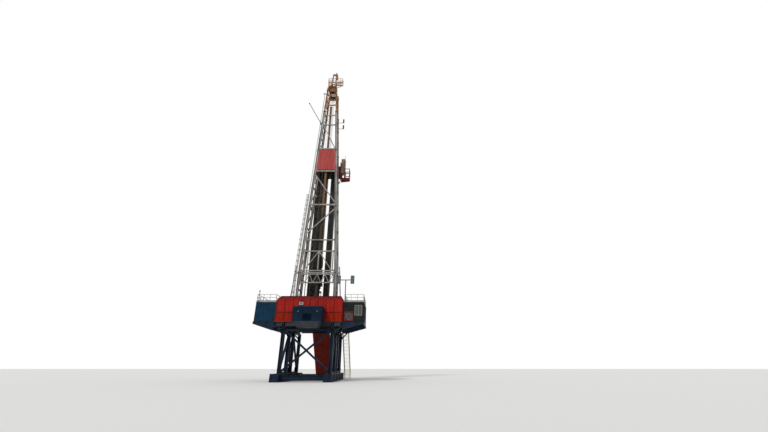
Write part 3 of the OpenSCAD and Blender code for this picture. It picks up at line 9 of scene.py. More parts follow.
import bpy
import numpy as np
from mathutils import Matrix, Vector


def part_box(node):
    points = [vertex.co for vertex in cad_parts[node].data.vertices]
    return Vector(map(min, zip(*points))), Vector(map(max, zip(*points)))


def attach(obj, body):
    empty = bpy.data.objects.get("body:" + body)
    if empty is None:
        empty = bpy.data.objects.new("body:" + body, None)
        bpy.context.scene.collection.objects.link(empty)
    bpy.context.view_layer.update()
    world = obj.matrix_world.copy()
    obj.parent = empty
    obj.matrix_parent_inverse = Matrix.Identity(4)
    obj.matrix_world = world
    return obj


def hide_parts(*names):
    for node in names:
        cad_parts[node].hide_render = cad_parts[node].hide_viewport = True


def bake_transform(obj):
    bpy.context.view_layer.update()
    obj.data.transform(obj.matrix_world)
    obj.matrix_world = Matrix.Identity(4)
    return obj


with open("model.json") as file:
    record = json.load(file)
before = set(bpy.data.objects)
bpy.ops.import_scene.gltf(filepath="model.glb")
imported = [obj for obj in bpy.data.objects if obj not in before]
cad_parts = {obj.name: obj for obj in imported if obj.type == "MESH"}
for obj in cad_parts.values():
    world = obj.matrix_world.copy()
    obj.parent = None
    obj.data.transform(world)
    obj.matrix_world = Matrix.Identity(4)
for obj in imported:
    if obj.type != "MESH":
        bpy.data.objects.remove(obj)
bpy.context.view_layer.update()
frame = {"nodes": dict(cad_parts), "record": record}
NODES = frame["nodes"]

# PLACES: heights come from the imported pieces, and offsets are the sizes that those pieces have

WELL_Y = (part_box("rotary_table")[0].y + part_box("rotary_table")[1].y) / 2
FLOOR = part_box("deck")[1].z
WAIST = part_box("mast_base_sides")[1].z
LOWER_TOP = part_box("mast_lower_sides")[1].z
MIDDLE_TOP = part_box("mast_middle_sides")[1].z
UPPER_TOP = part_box("mast_upper_sides")[1].z
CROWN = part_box("mast_crown_sides")[1].z
REAR = WELL_Y - 0.798
FRONT = WELL_Y + 0.402
LEG = 0.18
BRACE = 0.08
RIGHT, AHEAD, BACK, UP = (1, 0, 0), (0, 1, 0), (0, -1, 0), (0, 0, 1)
FOOT_HALF, WAIST_HALF, CROWN_HALF = 1.44, 1.38, 0.425


def half_width(z):
    """Half the distance between the mast legs at a height: two straight tapers that meet at the waist."""
    return np.interp(z, [FLOOR, WAIST, CROWN], [FOOT_HALF, WAIST_HALF, CROWN_HALF])


def real_mm(size):
    """A size on the real rig in millimetres, halved and turned to metres."""
    return size / 2000.0


def places(x, y, z):
    """Points whose coordinates are each a number or an array."""
    return np.stack(np.broadcast_arrays(x, y, z), -1)


def around(count):
    """Angles at even steps round a circle."""
    return 2 * math.pi * np.arange(count) / count


# SHAPES: each is a pair of a point array and a list of faces

def grid_faces(rows, columns, round_rows=False, round_columns=False):
    """Quads between neighbours on a grid; a round direction also joins its last line to its first."""
    i, j = np.meshgrid(np.arange(rows if round_rows else rows - 1),
                       np.arange(columns if round_columns else columns - 1), indexing="ij")
    next_i, next_j = (i + 1) % rows, (j + 1) % columns
    corners = [i * columns + j, i * columns + next_j, next_i * columns + next_j, next_i * columns + j]
    return np.stack(corners, -1).reshape(-1, 4).tolist()


def bars(starts, ends, section, up=UP):
    """A flat section carried straight from each start to its end.

    A point of bar i is start or end + a * side + b * top, for each (a, b) of the section, where
    side = along x up and top = side x along. The section runs anticlockwise in (side, top).
    """
    starts = np.atleast_2d(np.asarray(starts, float))
    ends = np.atleast_2d(np.asarray(ends, float))
    section = np.asarray(section, float)
    along = ends - starts
    along /= np.linalg.norm(along, axis=1, keepdims=True)
    side = np.cross(along, np.broadcast_to(np.asarray(up, float), along.shape))
    side /= np.linalg.norm(side, axis=1, keepdims=True)
    top = np.cross(side, along)
    ring = side[:, None] * section[None, :, :1] + top[:, None] * section[None, :, 1:]
    points = np.stack([starts[:, None] + ring, ends[:, None] + ring], 1).reshape(-1, 3)
    m = len(section)
    here = np.arange(m)
    after = (here + 1) % m
    sides = np.stack([here, m + here, m + after, after], -1)
    base = (np.arange(len(starts)) * 2 * m)[:, None]
    faces = (base[:, :, None] + sides[None]).reshape(-1, 4).tolist()
    faces += (base + here[None]).tolist()
    faces += (base + m + here[None, ::-1]).tolist()
    return points, faces


def row(x, y, z, section, up=UP):
    """Bars whose coordinates are each a number or an array, or a pair of them for the start and the end."""
    start, end = zip(*(c if isinstance(c, tuple) else (c, c) for c in (x, y, z)))
    return bars(places(*start), places(*end), section, up)


def lathe(profile, centre, axis=UP, count=20, ring=False):
    """A profile of (radius, height) rows turned round an axis through the centre.

    A point is centre + r cos(a) u + r sin(a) v + h axis, with u x v = axis. A ring's profile closes on
    itself, and any other gets flat ends. The profile goes up on its outer side.
    """
    profile = np.asarray(profile, float)
    axis = np.asarray(axis, float)
    u = np.cross(axis, (0.3, 0.5, 0.81))
    u /= np.linalg.norm(u)
    v = np.cross(axis, u)
    a = around(count)
    spoke = np.cos(a)[:, None] * u + np.sin(a)[:, None] * v
    points = (np.asarray(centre, float) + profile[:, None, :1] * spoke[None]
              + profile[:, None, 1:] * axis).reshape(-1, 3)
    faces = grid_faces(len(profile), count, ring, True)
    if not ring:
        last = (len(profile) - 1) * count
        faces += [list(range(count))[::-1], list(range(last, last + count))]
    return points, faces


def tube(path, radius, across, sides=8):
    """A circle carried along a path that lies square to 'across', closed at both ends.

    A point is path + r cos(a) across + r sin(a) (tangent x across).
    """
    path = np.asarray(path, float)
    across = np.asarray(across, float)
    tangent = np.gradient(path, axis=0)
    tangent /= np.linalg.norm(tangent, axis=1, keepdims=True)
    lift = np.cross(tangent, across)
    a = around(sides)
    ring = np.cos(a)[None, :, None] * across + np.sin(a)[None, :, None] * lift[:, None]
    points = (path[:, None] + radius * ring).reshape(-1, 3)
    last = (len(path) - 1) * sides
    faces = grid_faces(len(path), sides, False, True)
    return points, faces + [list(range(sides))[::-1], list(range(last, last + sides))]


def frame_round(centre, half_u, half_v, profile):
    """A mitred frame round a rectangle with half sides half_u and half_v.

    A point is centre +- (|u| - s) u +- (|v| - s) v + h n, for each (s, h) of the profile, n = u x v.
    The profile runs anticlockwise with s towards the middle.
    """
    half_u, half_v = np.asarray(half_u, float), np.asarray(half_v, float)
    length_u, length_v = np.linalg.norm(half_u), np.linalg.norm(half_v)
    u, v = half_u / length_u, half_v / length_v
    normal = np.cross(u, v)
    sign = np.array([(1, 1), (-1, 1), (-1, -1), (1, -1)], float)
    s, h = np.asarray(profile, float).T
    points = (np.asarray(centre, float) + (sign[:, :1] * (length_u - s))[..., None] * u
              + (sign[:, 1:] * (length_v - s))[..., None] * v + h[None, :, None] * normal)
    return points.reshape(-1, 3), grid_faces(4, len(s), True, True)


def arc(centre, radius, from_deg, to_deg, count):
    """Points on a circle in a plane of constant x; 0 degrees points to +Y and 90 degrees up."""
    a = np.radians(np.linspace(from_deg, to_deg, count))
    return places(centre[0], centre[1] + radius * np.cos(a), centre[2] + radius * np.sin(a))


def mirrored(shape):
    """The shape's image across the rig's centre plane, with its faces turned to point out again."""
    points, faces = shape
    return points * (-1, 1, 1), [face[::-1] for face in faces]


def both_sides(shapes):
    """The shapes and their images across the rig's centre plane."""
    return shapes + [mirrored(shape) for shape in shapes]


def turned(shape, quarter_turns):
    """The shape turned round the well by quarter turns."""
    c, s = [(1, 0), (0, 1), (-1, 0), (0, -1)][quarter_turns % 4]
    points, faces = shape
    x, y = points[:, 0], points[:, 1] - WELL_Y
    return places(c * x - s * y, s * x + c * y + WELL_Y, points[:, 2]), faces


def rectangle(width, height):
    """Section that stands on the side axis: width across, height up."""
    return [(-width / 2, 0), (width / 2, 0), (width / 2, height), (-width / 2, height)]


def pressed_rib(foot, crest, height):
    """Section of a rib pressed in sheet: a trapezoid on the side axis."""
    return [(-foot / 2, 0), (foot / 2, 0), (crest / 2, height), (-crest / 2, height)]


def regular(radius, sides):
    """Section with equal sides, centred."""
    a = 2 * math.pi * (np.arange(sides) + 0.5) / sides
    return np.stack([radius * np.cos(a), radius * np.sin(a)], -1)


def bolts(at, axis, radius=0.011, height=0.009):
    """Hexagon heads that stand along an axis, with their undersides at the given places."""
    at, axis = np.asarray(at, float), np.asarray(axis, float)
    up = AHEAD if abs(axis[2]) > 0.9 else UP
    return bars(at, at + axis * height, regular(radius, 6), up)


SHORTEST = 0.03


def cut_runs(at, low, high, holes, margin=0.02):
    """The stretches of an upright line that miss every hole (from, to, bottom, top)."""
    runs = [(low, high)]
    for left, right, bottom, top in holes:
        if left - margin < at < right + margin:
            runs = [part for a, b in runs
                    for part in ((a, min(b, bottom - margin)), (max(a, top + margin), b))
                    if part[1] - part[0] > SHORTEST]
    return runs


def level_runs(start, end, gaps):
    """The stretches from start to end that miss every gap (left, right)."""
    runs = []
    for left, right in sorted(gaps) + [(end, end)]:
        if left - start > SHORTEST:
            runs.append((start, left))
        start = max(start, right)
    return runs


# MATERIALS

def linear(hex_colour):
    """sRGB hex to linear RGBA, channel by channel with the sRGB curve."""
    parts = [int(hex_colour[i:i + 2], 16) / 255 for i in (1, 3, 5)]
    curve = [c / 12.92 if c <= 0.04045 else ((c + 0.055) / 1.055) ** 2.4 for c in parts]
    return (*curve, 1.0)


BLACK, WHITE = (0, 0, 0, 1), (1, 1, 1, 1)


def node(tree, kind, settings=None, stops=(), **inputs):
    """Adds one node of a kind, or takes the node given, with its settings, ramp stops and inputs.

    An input is named by its socket, or by _ and the socket's number. It is a value or another node's output.
    """
    made = tree.nodes.new(kind) if isinstance(kind, str) else kind
    for key, value in (settings or {}).items():
        setattr(made, key, value)
    if stops:
        for stop, (position, colour) in zip(made.color_ramp.elements, stops):
            stop.position = position
            stop.color = colour
    for key, value in inputs.items():
        socket = made.inputs[int(key[1:])] if key[1:].isdigit() else made.inputs[key.replace("_", " ")]
        if isinstance(value, bpy.types.NodeSocket):
            tree.links.new(value, socket)
        else:
            socket.default_value = value
    return made


def blank(name, specular=0.5):
    """A material with only a principled shader, and its tree, shader and object coordinates."""
    material = bpy.data.materials.new(name)
    material.use_nodes = True
    tree = material.node_tree
    shader = node(tree, tree.nodes["Principled BSDF"], Specular_IOR_Level=specular)
    return material, tree, shader, node(tree, "ShaderNodeTexCoord").outputs["Object"]


def patches(tree, place, size, low, high, stretch=(1, 1, 1), detail=3.0, roughness=0.55):
    """Noise with cells of a size in real millimetres, black up to low and white from high on.

    Stretch draws the cells out along each axis.
    """
    scaled = node(tree, "ShaderNodeMapping", Vector=place, Scale=tuple(1 / s for s in stretch))
    noise = node(tree, "ShaderNodeTexNoise", Vector=scaled.outputs["Vector"], Scale=1 / real_mm(size),
                 Detail=detail, Roughness=roughness)
    return node(tree, "ShaderNodeValToRGB", None, [(low, BLACK), (high, WHITE)],
                Fac=noise.outputs["Fac"]).outputs["Color"]


def coats(tree, colour, *layers):
    """A hex colour under layers of (mask, colour, way to mix), each laid on where its mask is white."""
    colour = linear(colour)
    for mask, over, *way in layers:
        over = linear(over) if isinstance(over, str) else over
        settings = {"data_type": "RGBA", "blend_type": way[0] if way else "MIX"}
        colour = node(tree, "ShaderNodeMix", settings, _0=mask, _6=colour, _7=over).outputs[2]
    return colour


def brushed_enamel(name, paint, faded, wear, tones=(), gloss=0.45):
    """Alkyd enamel on plate steel: it fades in patches, darkens in rain streaks and rusts through in spots.

    Each tone is (colour, height, height): from none at the first height to all of the paint at the second.
    """
    material, tree, shader, place = blank(name, specular=0.08)
    fading = patches(tree, place, 900, 0.35, 0.7)
    streaks = patches(tree, place, 160, 0.48, 0.75, stretch=(1, 1, 14))
    spots = patches(tree, place, 120, 0.67 - 0.12 * wear, 0.73 - 0.1 * wear, detail=8, roughness=0.7)
    layers = [(fading, faded)]
    for tone, none_at, full_at in tones:
        z = node(tree, "ShaderNodeSeparateXYZ", Vector=place).outputs["Z"]
        share = node(tree, "ShaderNodeMapRange", Value=z, From_Min=none_at, From_Max=full_at)
        layers.append((share.outputs["Result"], tone))
    dirt = node(tree, "ShaderNodeMath", {"operation": "MULTIPLY"}, _0=streaks, _1=0.55).outputs[0]
    colour = coats(tree, paint, *layers, (dirt, "#5a5148", "MULTIPLY"), (spots, "#4e2a1a"))
    rough = node(tree, "ShaderNodeMapRange", Value=spots, To_Min=gloss, To_Max=0.85)
    flakes = node(tree, "ShaderNodeBump", Height=spots, Distance=real_mm(1.5), Strength=0.4)
    node(tree, shader, Base_Color=colour, Roughness=rough.outputs["Result"], Normal=flakes.outputs["Normal"])
    return material


def zinc_galvanised(name, bright, dull):
    """Hot-dip galvanised structural steel: dull zinc with spangle, grey runs and brown bleed at joints."""
    material, tree, shader, place = blank(name, specular=0.3)
    # Spangle flowers are about 45 mm across on heavy sections
    spangle = node(tree, "ShaderNodeTexVoronoi", Vector=place, Scale=1 / real_mm(45)).outputs["Color"]
    greys = [(0.0, (0.42, 0.42, 0.42, 1)), (1.0, (0.58, 0.58, 0.58, 1))]
    cells = node(tree, "ShaderNodeValToRGB", None, greys, Fac=spangle).outputs["Color"]
    weather = patches(tree, place, 700, 0.3, 0.72, stretch=(1, 1, 3))
    bleed = patches(tree, place, 300, 0.615, 0.755, stretch=(1, 1, 6), detail=7, roughness=0.65)
    colour = coats(tree, bright, (weather, dull), (0.5, cells, "OVERLAY"), (bleed, "#6a4732"))
    rough = node(tree, "ShaderNodeMapRange", Value=weather, To_Min=0.48, To_Max=0.68)
    node(tree, shader, Base_Color=colour, Metallic=0.3, Roughness=rough.outputs["Result"])
    return material


def anti_slip_paint():
    """Gritty deck paint: sand in the coat gives a matt, speckled skin, worn to steel where feet go."""
    material, tree, shader, place = blank("anti_slip_deck_paint", specular=0.2)
    worn = patches(tree, place, 1400, 0.45, 0.62, detail=6)
    # Grit of about 2 mm is drawn at 12 mm, as it would not show
    grit = patches(tree, place, 12, 0, 1, detail=2)
    colour = coats(tree, "#33312f", (worn, "#5a534b"), (grit, "#1f1e1d", "SOFT_LIGHT"))
    relief = node(tree, "ShaderNodeBump", Height=grit, Distance=real_mm(2), Strength=0.6)
    node(tree, shader, Base_Color=colour, Roughness=0.85, Normal=relief.outputs["Normal"])
    return material


def mill_scale_pipe():
    """Seamless drill pipe: blue-black mill scale under oil and dried mud, in long drips and broad stains."""
    material, tree, shader, place = blank("oiled_mill_scale_on_drill_pipe", specular=0.35)
    drips = patches(tree, place, 90, 0.42, 0.7, stretch=(1, 1, 26), detail=4)
    mud = patches(tree, place, 2600, 0.4, 0.66, stretch=(1, 1, 2))
    colour = coats(tree, "#2c2a29", (drips, "#463f39"), (mud, "#4c4641"))
    rough = node(tree, "ShaderNodeMapRange", Value=drips, To_Min=0.4, To_Max=0.7)
    node(tree, shader, Base_Color=colour, Roughness=rough.outputs["Result"])
    return material


def greased_rope():
    """Greased six-strand wire rope: the strands show as slanting dark lines, one every sixth of the lay."""
    material, tree, shader, place = blank("greased_steel_wire_rope", specular=0.4)
    # A lay of 250 mm gives a strand every 42 mm, drawn at that size
    slanted = node(tree, "ShaderNodeMapping", Vector=place, Rotation=(math.radians(35), 0, 0))
    strands = node(tree, "ShaderNodeTexWave", {"bands_direction": "Z"}, Vector=slanted.outputs["Vector"],
                   Scale=0.314 / real_mm(42), Distortion=0.0).outputs["Fac"]
    colour = coats(tree, "#24211f", (strands, "#57524b"))
    relief = node(tree, "ShaderNodeBump", Height=strands, Distance=real_mm(3), Strength=0.5)
    node(tree, shader, Base_Color=colour, Metallic=0.4, Roughness=0.5, Normal=relief.outputs["Normal"])
    return material


def tinted_glass(name, tint, transmission):
    """Tinted float glass: smooth, with the usual glass IOR, and a film of dust that dulls it a little."""
    material, tree, shader, place = blank(name)
    dust = patches(tree, place, 500, 0, 1, stretch=(1, 1, 3))
    rough = node(tree, "ShaderNodeMapRange", Value=dust, To_Min=0.05, To_Max=0.3)
    node(tree, shader, Base_Color=linear(tint), IOR=1.52, Transmission_Weight=transmission,
         Roughness=rough.outputs["Result"])
    return material


# Each enamel is (name, paint, faded paint, wear, tones, gloss)
ENAMELS = {
    "dark_blue_steel": ("navy_enamel_on_rolled_steel", "#131f30", "#1e2c3e", 0.5),
    "floor_grey": ("grey_enamel_on_rolled_steel", "#2c3036", "#383d43", 0.6),
    "rotary_steel": ("bare_cast_steel", "#6f6b66", "#857f76", 0.8),
    "ramp_red": ("red_enamel_on_ramp_plate", "#7e271d", "#933626", 0.9),
    "rail_yellow": ("yellow_enamel_on_tube", "#b88f25", "#c7a147", 0.5),
    "windwall_red": ("signal_red_enamel_on_sheet", "#991e18", "#a6281f", 0.5, [
        ("#92200b", FLOOR + 0.75, FLOOR + 0.45), ("#711a1b", FLOOR + 1.44, FLOOR + 1.5),
        ("#a84643", FLOOR + 8, FLOOR + 10)]),
    "doghouse_blue": ("mid_blue_enamel_on_sheet", "#07293f", "#0f3750", 0.4),
    "roof_grey": ("grey_roof_enamel", "#8d9194", "#a0a3a3", 0.4),
    "door_blue": ("deep_blue_door_enamel", "#1b3558", "#25426a", 0.2),
    "cabin_teal": ("near_black_enamel_on_sheet", "#161b1c", "#232827", 0.6),
    "guard_red": ("dark_red_enamel_on_tube", "#63201c", "#752c26", 0.5),
    "crown_rust": ("orange_brown_primer_gone_to_rust", "#ae8661", "#8d6848", 0.9, (), 0.7),
    # The guide rail turns dark brown from FLOOR + 9.7 down to FLOOR + 8.7 and below: painted shade on its
    # lower part, where the rail is in shadow
    "guide_orange": ("brown_primer_with_painted_shade_low_down", "#75553a", "#694a31", 0.6,
                     [("#3f372b", FLOOR + 9.7, FLOOR + 8.7)]),
    "board_dark": ("oily_dark_green_enamel", "#23302a", "#313c36", 0.6),
    # The racking board's red panels are darkened to a dull rose: painted shade, as they hang in shadow
    "panel_rose": ("red_enamel_darkened_as_painted_shade", "#5f3533", "#6b3d3a", 0.4),
    "block_dark": ("dark_worn_enamel_on_cast_block", "#35302b", "#463f38", 0.7),
    "drawworks_blue": ("mid_blue_enamel_on_hood_plate", "#04192b", "#0b263c", 0.45),
    "drive_dark": ("dark_grey_blue_machinery_enamel", "#27333d", "#36424c", 0.6),
    "lamp_body": ("satin_graphite_lamp_housing", "#262c33", "#333a42", 0.2,
                  [("#5d666e", FLOOR + 15, FLOOR + 16)]),
}
FINISHES = {
    **{slot: brushed_enamel(*enamel) for slot, enamel in ENAMELS.items()},
    "deck_plate": anti_slip_paint(),
    "tread_grey": zinc_galvanised("galvanised_stair_grating", "#87898a", "#707272"),
    "rail_grey": zinc_galvanised("galvanised_handrail_tube", "#8a8680", "#77736d"),
    "mast_galvanised": zinc_galvanised("galvanised_mast_section", "#8c8985", "#75726e"),
    "pipe_steel": mill_scale_pipe(),
    "wire_rope": greased_rope(),
    "window_glass": tinted_glass("dusty_tinted_window_glass", "#4a5658", 0.5),
}
# Dark oxblood for the strips on the windwalls' battens and seam: painted shadow of the gaps at the sheets'
# joints
BATTEN_SHADOW_DARK = brushed_enamel("oxblood_strips_of_painted_batten_shadow", "#431512", "#4c1a16", 0.3)
LENS_GLASS = tinted_glass("pressed_prismatic_lamp_glass", "#6f828c", 0.2)
SHELTER_GREY = brushed_enamel("grey_brown_primer_on_sheet", "#948075", "#a08e82", 0.6)
HOOD_LAMP_WHITE = brushed_enamel("white_stove_enamel_on_lamp", "#cfd2d2", "#bfc2c2", 0.1)

for entry in frame["record"]["subparts"]:
    cad = NODES[entry["node"]]
    cad.data.materials.clear()
    cad.data.materials.append(FINISHES[entry["material_slot"]])


def build(name, shapes, slot, finish=None):
    """Joins shapes to one mesh object with the slot's finish."""
    points, faces, base = [], [], 0
    for shape_points, shape_faces in shapes:
        points.append(shape_points)
        faces += [[base + k for k in face] for face in shape_faces]
        base += len(shape_points)
    mesh = bpy.data.meshes.new(name)
    mesh.from_pydata(np.concatenate(points).tolist(), [], faces)
    mesh.materials.append(finish or FINISHES[slot])
    made = bpy.data.objects.new(name, mesh)
    bpy.context.scene.collection.objects.link(made)
    return made


def piece(name, shapes, slot, body="rig", finish=None):
    """A piece that rides on one body."""
    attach(build(name, shapes, slot, finish), body)


# WINDWALLS: holes are (left, right, bottom, top), measured from the well at floor level

WALL_X, WALL_Y = 2.28, 2.58
WALL_H, BAND_H, BAND_LEAN = 1.48, 0.24, 0.19
BATTEN = 0.044
SEAM = 0.57
SEAM_MID = SEAM + BATTEN / 2
STAIR = (1.74, 2.24)
PIPE_DOOR = 0.75
CABIN_HOLES = [(-0.08, 0.37, 0, 1.05), (-1.9, -0.15, 0.42, 1.1)]
DOG_HOLES = [(0.2, 0.65, 0, 1.05), (-1.6, -0.5, 0.55, 1.05)]
SHEET_RIB = pressed_rib(0.036, 0.018, 0.011)
# Section of the dark strips that paint shadow lines on the windwalls
SHADOW_LINE_STRIP = rectangle(0.034, 0.004)


def on_wall(u, y, z, section, up=BACK):
    """A row of bars on a wall that faces -Y, measured from the well at floor level."""
    points, faces = row(u, y, z, section, up)
    return points + (0, WELL_Y, FLOOR), faces


def batten_lines(half, bays):
    """Places of the battens along a wall."""
    return -half + BATTEN / 2 + (2 * half - BATTEN) / bays * np.arange(bays + 1)


def gaps_at(height, holes, margin=0.0):
    """The spans of the holes that cross a height, widened by a margin."""
    return [(left - margin, right + margin) for left, right, bottom, top in holes if bottom < height < top]


def wall_sheets(out, half, bays, holes):
    """Pressed ribs in the sheets of one wall that faces -Y, and in the band that leans in above it."""
    pitch = (2 * half - BATTEN) / bays
    per_bay = 7
    runs = []
    for bay in range(bays):
        for k in range(per_bay):
            u = -half + bay * pitch + BATTEN + (pitch - BATTEN) * (k + 0.5) / per_bay
            for low, high in ((BATTEN, SEAM), (SEAM + BATTEN, WALL_H - BATTEN)):
                runs += [(u, a, b) for a, b in cut_runs(u, low, high, holes)]
    u, low, high = np.array(runs).T
    sheets = on_wall(u, -out, (low, high), SHEET_RIB)
    end, top = half - 0.24, WALL_H + BAND_H
    u = [u for u in np.linspace(-end, end, bays * 5) if cut_runs(u, WALL_H, top, holes)]
    band = on_wall(u, (-out, BAND_LEAN - out), (WALL_H + 0.01, top), SHEET_RIB, up=(0, -1, 0.6))
    return [sheets, band]


def wall_shadow_strips(out, half, bays, holes):
    """Dark strips over the battens and the seam between the upper and lower sheets of a wall: painted shadow,
    standing for the shade in the gaps at the sheets' joints.
    """
    u, low, high = np.array([(u, a, b) for u in batten_lines(half, bays)
                             for a, b in cut_runs(u, 0.02, WALL_H - 0.02, holes)]).T
    left, right = np.array(level_runs(-half + 0.02, half - 0.02, gaps_at(SEAM, holes, 0.02))).T
    upright_y, seam_y = -out - 0.02, -out - 0.0205
    return [on_wall(u, upright_y, (low, high), SHADOW_LINE_STRIP),
            on_wall((left, right), seam_y, SEAM_MID, SHADOW_LINE_STRIP)]


def wall_fixings(out, half, bays, holes):
    """Bolts down each batten of a wall that faces -Y, and a capping angle on its top edge."""
    heights = (0.08, 0.25, 0.42, 0.7, 0.88, 1.06, 1.24, 1.42)
    heads = np.array([(u, -out - 0.02, z) for u in batten_lines(half, bays) for z in heights
                      if any(a <= z <= b for a, b in cut_runs(u, 0, WALL_H, holes))])
    end = half - BAND_LEAN - 0.03
    left, right = np.array(level_runs(-end, end, gaps_at(WALL_H, holes))).T
    y, z = BAND_LEAN - out - 0.004, WALL_H + BAND_H
    angle = [(-0.004, -0.03), (0.0, -0.03), (0.0, 0.0), (0.038, 0.0), (0.038, 0.006), (-0.004, 0.006)]
    return [bolts(heads + (0, WELL_Y, FLOOR), BACK, 0.010, 0.011),
            on_wall((left, right), y, z, angle, up=UP)]


def wall_posts(out, half, bays, holes):
    """Channel posts inside a wall at its battens, with a rail at the seam and one under the top edge."""
    inner = -out + 0.029
    blocked = [(left - 0.03, right + 0.03) for left, right, *_ in holes]
    posts = [u for u in batten_lines(half, bays)[1:-1] if not any(a < u < b for a, b in blocked)]
    channel = [(-0.025, 0.0), (0.025, 0.0), (0.025, 0.05), (0.019, 0.05), (0.019, 0.006), (-0.019, 0.006),
               (-0.019, 0.05), (-0.025, 0.05)]
    shapes = [on_wall(posts, inner, (0.001, WALL_H - 0.01), channel, up=AHEAD)]
    end = half - 0.06
    for z, gaps in ((SEAM_MID, gaps_at(SEAM, holes, 0.03)), (WALL_H - 0.05, gaps_at(WALL_H, holes))):
        left, right = np.array(level_runs(-end, end, gaps)).T
        shapes.append(on_wall((left, right), inner, z, rectangle(0.04, 0.03), up=AHEAD))
    return shapes


def dress_windwalls():
    """Sheets, dark strips of painted shadow and fixings on the four walls, each made facing -Y and turned to
    its side.
    """
    above = WALL_H + BAND_H + 1
    front_holes = [(-PIPE_DOOR, PIPE_DOOR, 0, above), (-STAIR[1], -STAIR[0], 0, above)]
    for make, name, finish in ((wall_sheets, "windwall_sheets", None),
                               # The dark strips are painted shadow along the battens and the seam
                               (wall_shadow_strips, "windwall_painted_shadow_strips", BATTEN_SHADOW_DARK),
                               (wall_fixings, "windwall_fixings", None),
                               (wall_posts, "windwall_posts", None)):
        shapes = make(WALL_Y, WALL_X, 8, [])
        shapes += [turned(shape, 1) for shape in make(WALL_X, WALL_Y, 9, CABIN_HOLES)]
        shapes += [mirrored(turned(shape, 1)) for shape in make(WALL_X, WALL_Y, 9, DOG_HOLES)]
        shapes += [turned(shape, 2) for shape in make(WALL_Y, WALL_X, 8, front_holes)]
        piece(name, shapes, "windwall_red", finish=finish)
    # Folded frames round the openings, on the deck side
    fold = [(0.0, 0.0), (0.0, 0.012), (-0.035, 0.012), (-0.035, 0.0)]
    sill = 0.04
    frames = []
    for holes, flip in ((CABIN_HOLES, False), (DOG_HOLES, True)):
        for y0, y1, z0, z1 in holes:
            z0 = max(z0, sill)
            made = frame_round((WALL_X - 0.03, WELL_Y + (y0 + y1) / 2, FLOOR + (z0 + z1) / 2),
                               (0, 0, (z1 - z0) / 2), (0, (y1 - y0) / 2, 0), fold)
            frames.append(mirrored(made) if flip else made)
    piece("opening_frames", frames, "floor_grey")


# HOUSES: the cabin's side of the rig; the doghouse is made there too, and mirrored

HOUSE_X0, HOUSE_X1 = 2.34, 3.74
HOUSE_Y0 = WELL_Y - 2.48
DOG_END, CABIN_END = WELL_Y + 1.72, WELL_Y + 0.42
HOUSE_H = 1.3
ROOF = FLOOR + HOUSE_H + 0.05
RIB = 0.034
REAR_WINDOWS = [(2.45, 2.98, 0.09, 0.6), (3.14, 3.59, 0.43, 1.05)]


def swage_lines(start, end, bays):
    """Places of the swages along a wall, two in each bay between its ribs."""
    pitch = (end - start - RIB) / bays
    return [start + bay * pitch + RIB + (pitch - RIB) * share for bay in range(bays) for share in (0.3, 0.7)]


def house_swages(y1, end_bays, side_bays, rear_holes):
    """Swages between the ribs of a house: rear end, far end and outer side."""
    section = pressed_rib(0.03, 0.014, 0.009)
    foot, head = 0.05, HOUSE_H - 0.05
    shapes = []
    for y, out, holes in ((HOUSE_Y0, -1, rear_holes), (y1, 1, [])):
        x, low, high = np.array([(x, a, b) for x in swage_lines(HOUSE_X0, HOUSE_X1, end_bays)
                                 for a, b in cut_runs(x, foot, head, holes, 0.05)]).T
        shapes.append(row(x, y, (FLOOR + low, FLOOR + high), section, up=(0, out, 0)))
    y = swage_lines(HOUSE_Y0 + 0.05, y1 - 0.05, side_bays)
    shapes.append(row(HOUSE_X1, y, (FLOOR + foot, FLOOR + head), section, up=RIGHT))
    return shapes


def lifting_eye(centre, radius):
    """A ring of round bar, open below where its ends are welded on."""
    return tube(arc(centre, radius, -70, 250, 15), 0.008, RIGHT)


def roof_trim(y1):
    """Low ribs across the roof sheets, and a lifting eye on its pad at each corner."""
    y = np.linspace(HOUSE_Y0 + 0.12, y1 - 0.12, int((y1 - HOUSE_Y0) / 0.11))
    shapes = [row((HOUSE_X0 + 0.04, HOUSE_X1 - 0.02), y, ROOF, pressed_rib(0.04, 0.02, 0.009))]
    for x in (HOUSE_X0 + 0.16, HOUSE_X1 - 0.14):
        for y in (HOUSE_Y0 + 0.09, y1 - 0.09):
            shapes.append(lifting_eye((x, y, ROOF + 0.03), 0.032))
            shapes.append(row(x, (y - 0.05, y + 0.05), ROOF - 0.001, rectangle(0.05, 0.01)))
    return shapes


def dress_houses():
    """Swages and roof trim of both houses, the cabin's rear window frame and the doghouse door's trim."""
    piece("doghouse_swages", [mirrored(s) for s in house_swages(DOG_END, 5, 14, [])], "doghouse_blue")
    piece("cabin_swages", house_swages(CABIN_END, 5, 10, REAR_WINDOWS), "cabin_teal")
    piece("roof_trim", roof_trim(CABIN_END) + [mirrored(s) for s in roof_trim(DOG_END)], "roof_grey")
    x0, x1, z0, z1 = REAR_WINDOWS[1]
    mid, half_w, half_h = (x0 + x1) / 2, (x1 - x0) / 2, (z1 - z0) / 2
    fold = [(0.0, -0.02), (0.0, 0.016), (-0.03, 0.016), (-0.036, 0.01), (-0.036, 0.0)]
    surround = frame_round((mid, HOUSE_Y0, FLOOR + z0 + half_h), (half_w, 0, 0), (0, 0, half_h), fold)
    y = HOUSE_Y0 + 0.022
    glazing_bar = row(mid, y, (FLOOR + z0, FLOOR + z1), rectangle(0.022, 0.02), up=BACK)
    piece("rear_window_frame", [surround, glazing_bar], "rail_grey")
    # A raised panel and its hinges, on the deck side of the doghouse
    panel = frame_round((2.35, WELL_Y + 0.425, FLOOR + 0.56), (0, 0, 0.42), (0, 0.17, 0),
                        [(0.0, -0.001), (0.0, 0.006), (0.03, 0.006), (0.036, -0.001)])
    y, z = WELL_Y + 0.64, FLOOR + np.array([0.12, 0.5, 0.88])
    hinges = row(2.345, y, (z, z + 0.08), regular(0.009, 8), up=AHEAD)
    piece("door_panel_and_hinges", [mirrored(panel), mirrored(hinges)], "door_blue")


# DRAWWORKS HOUSE

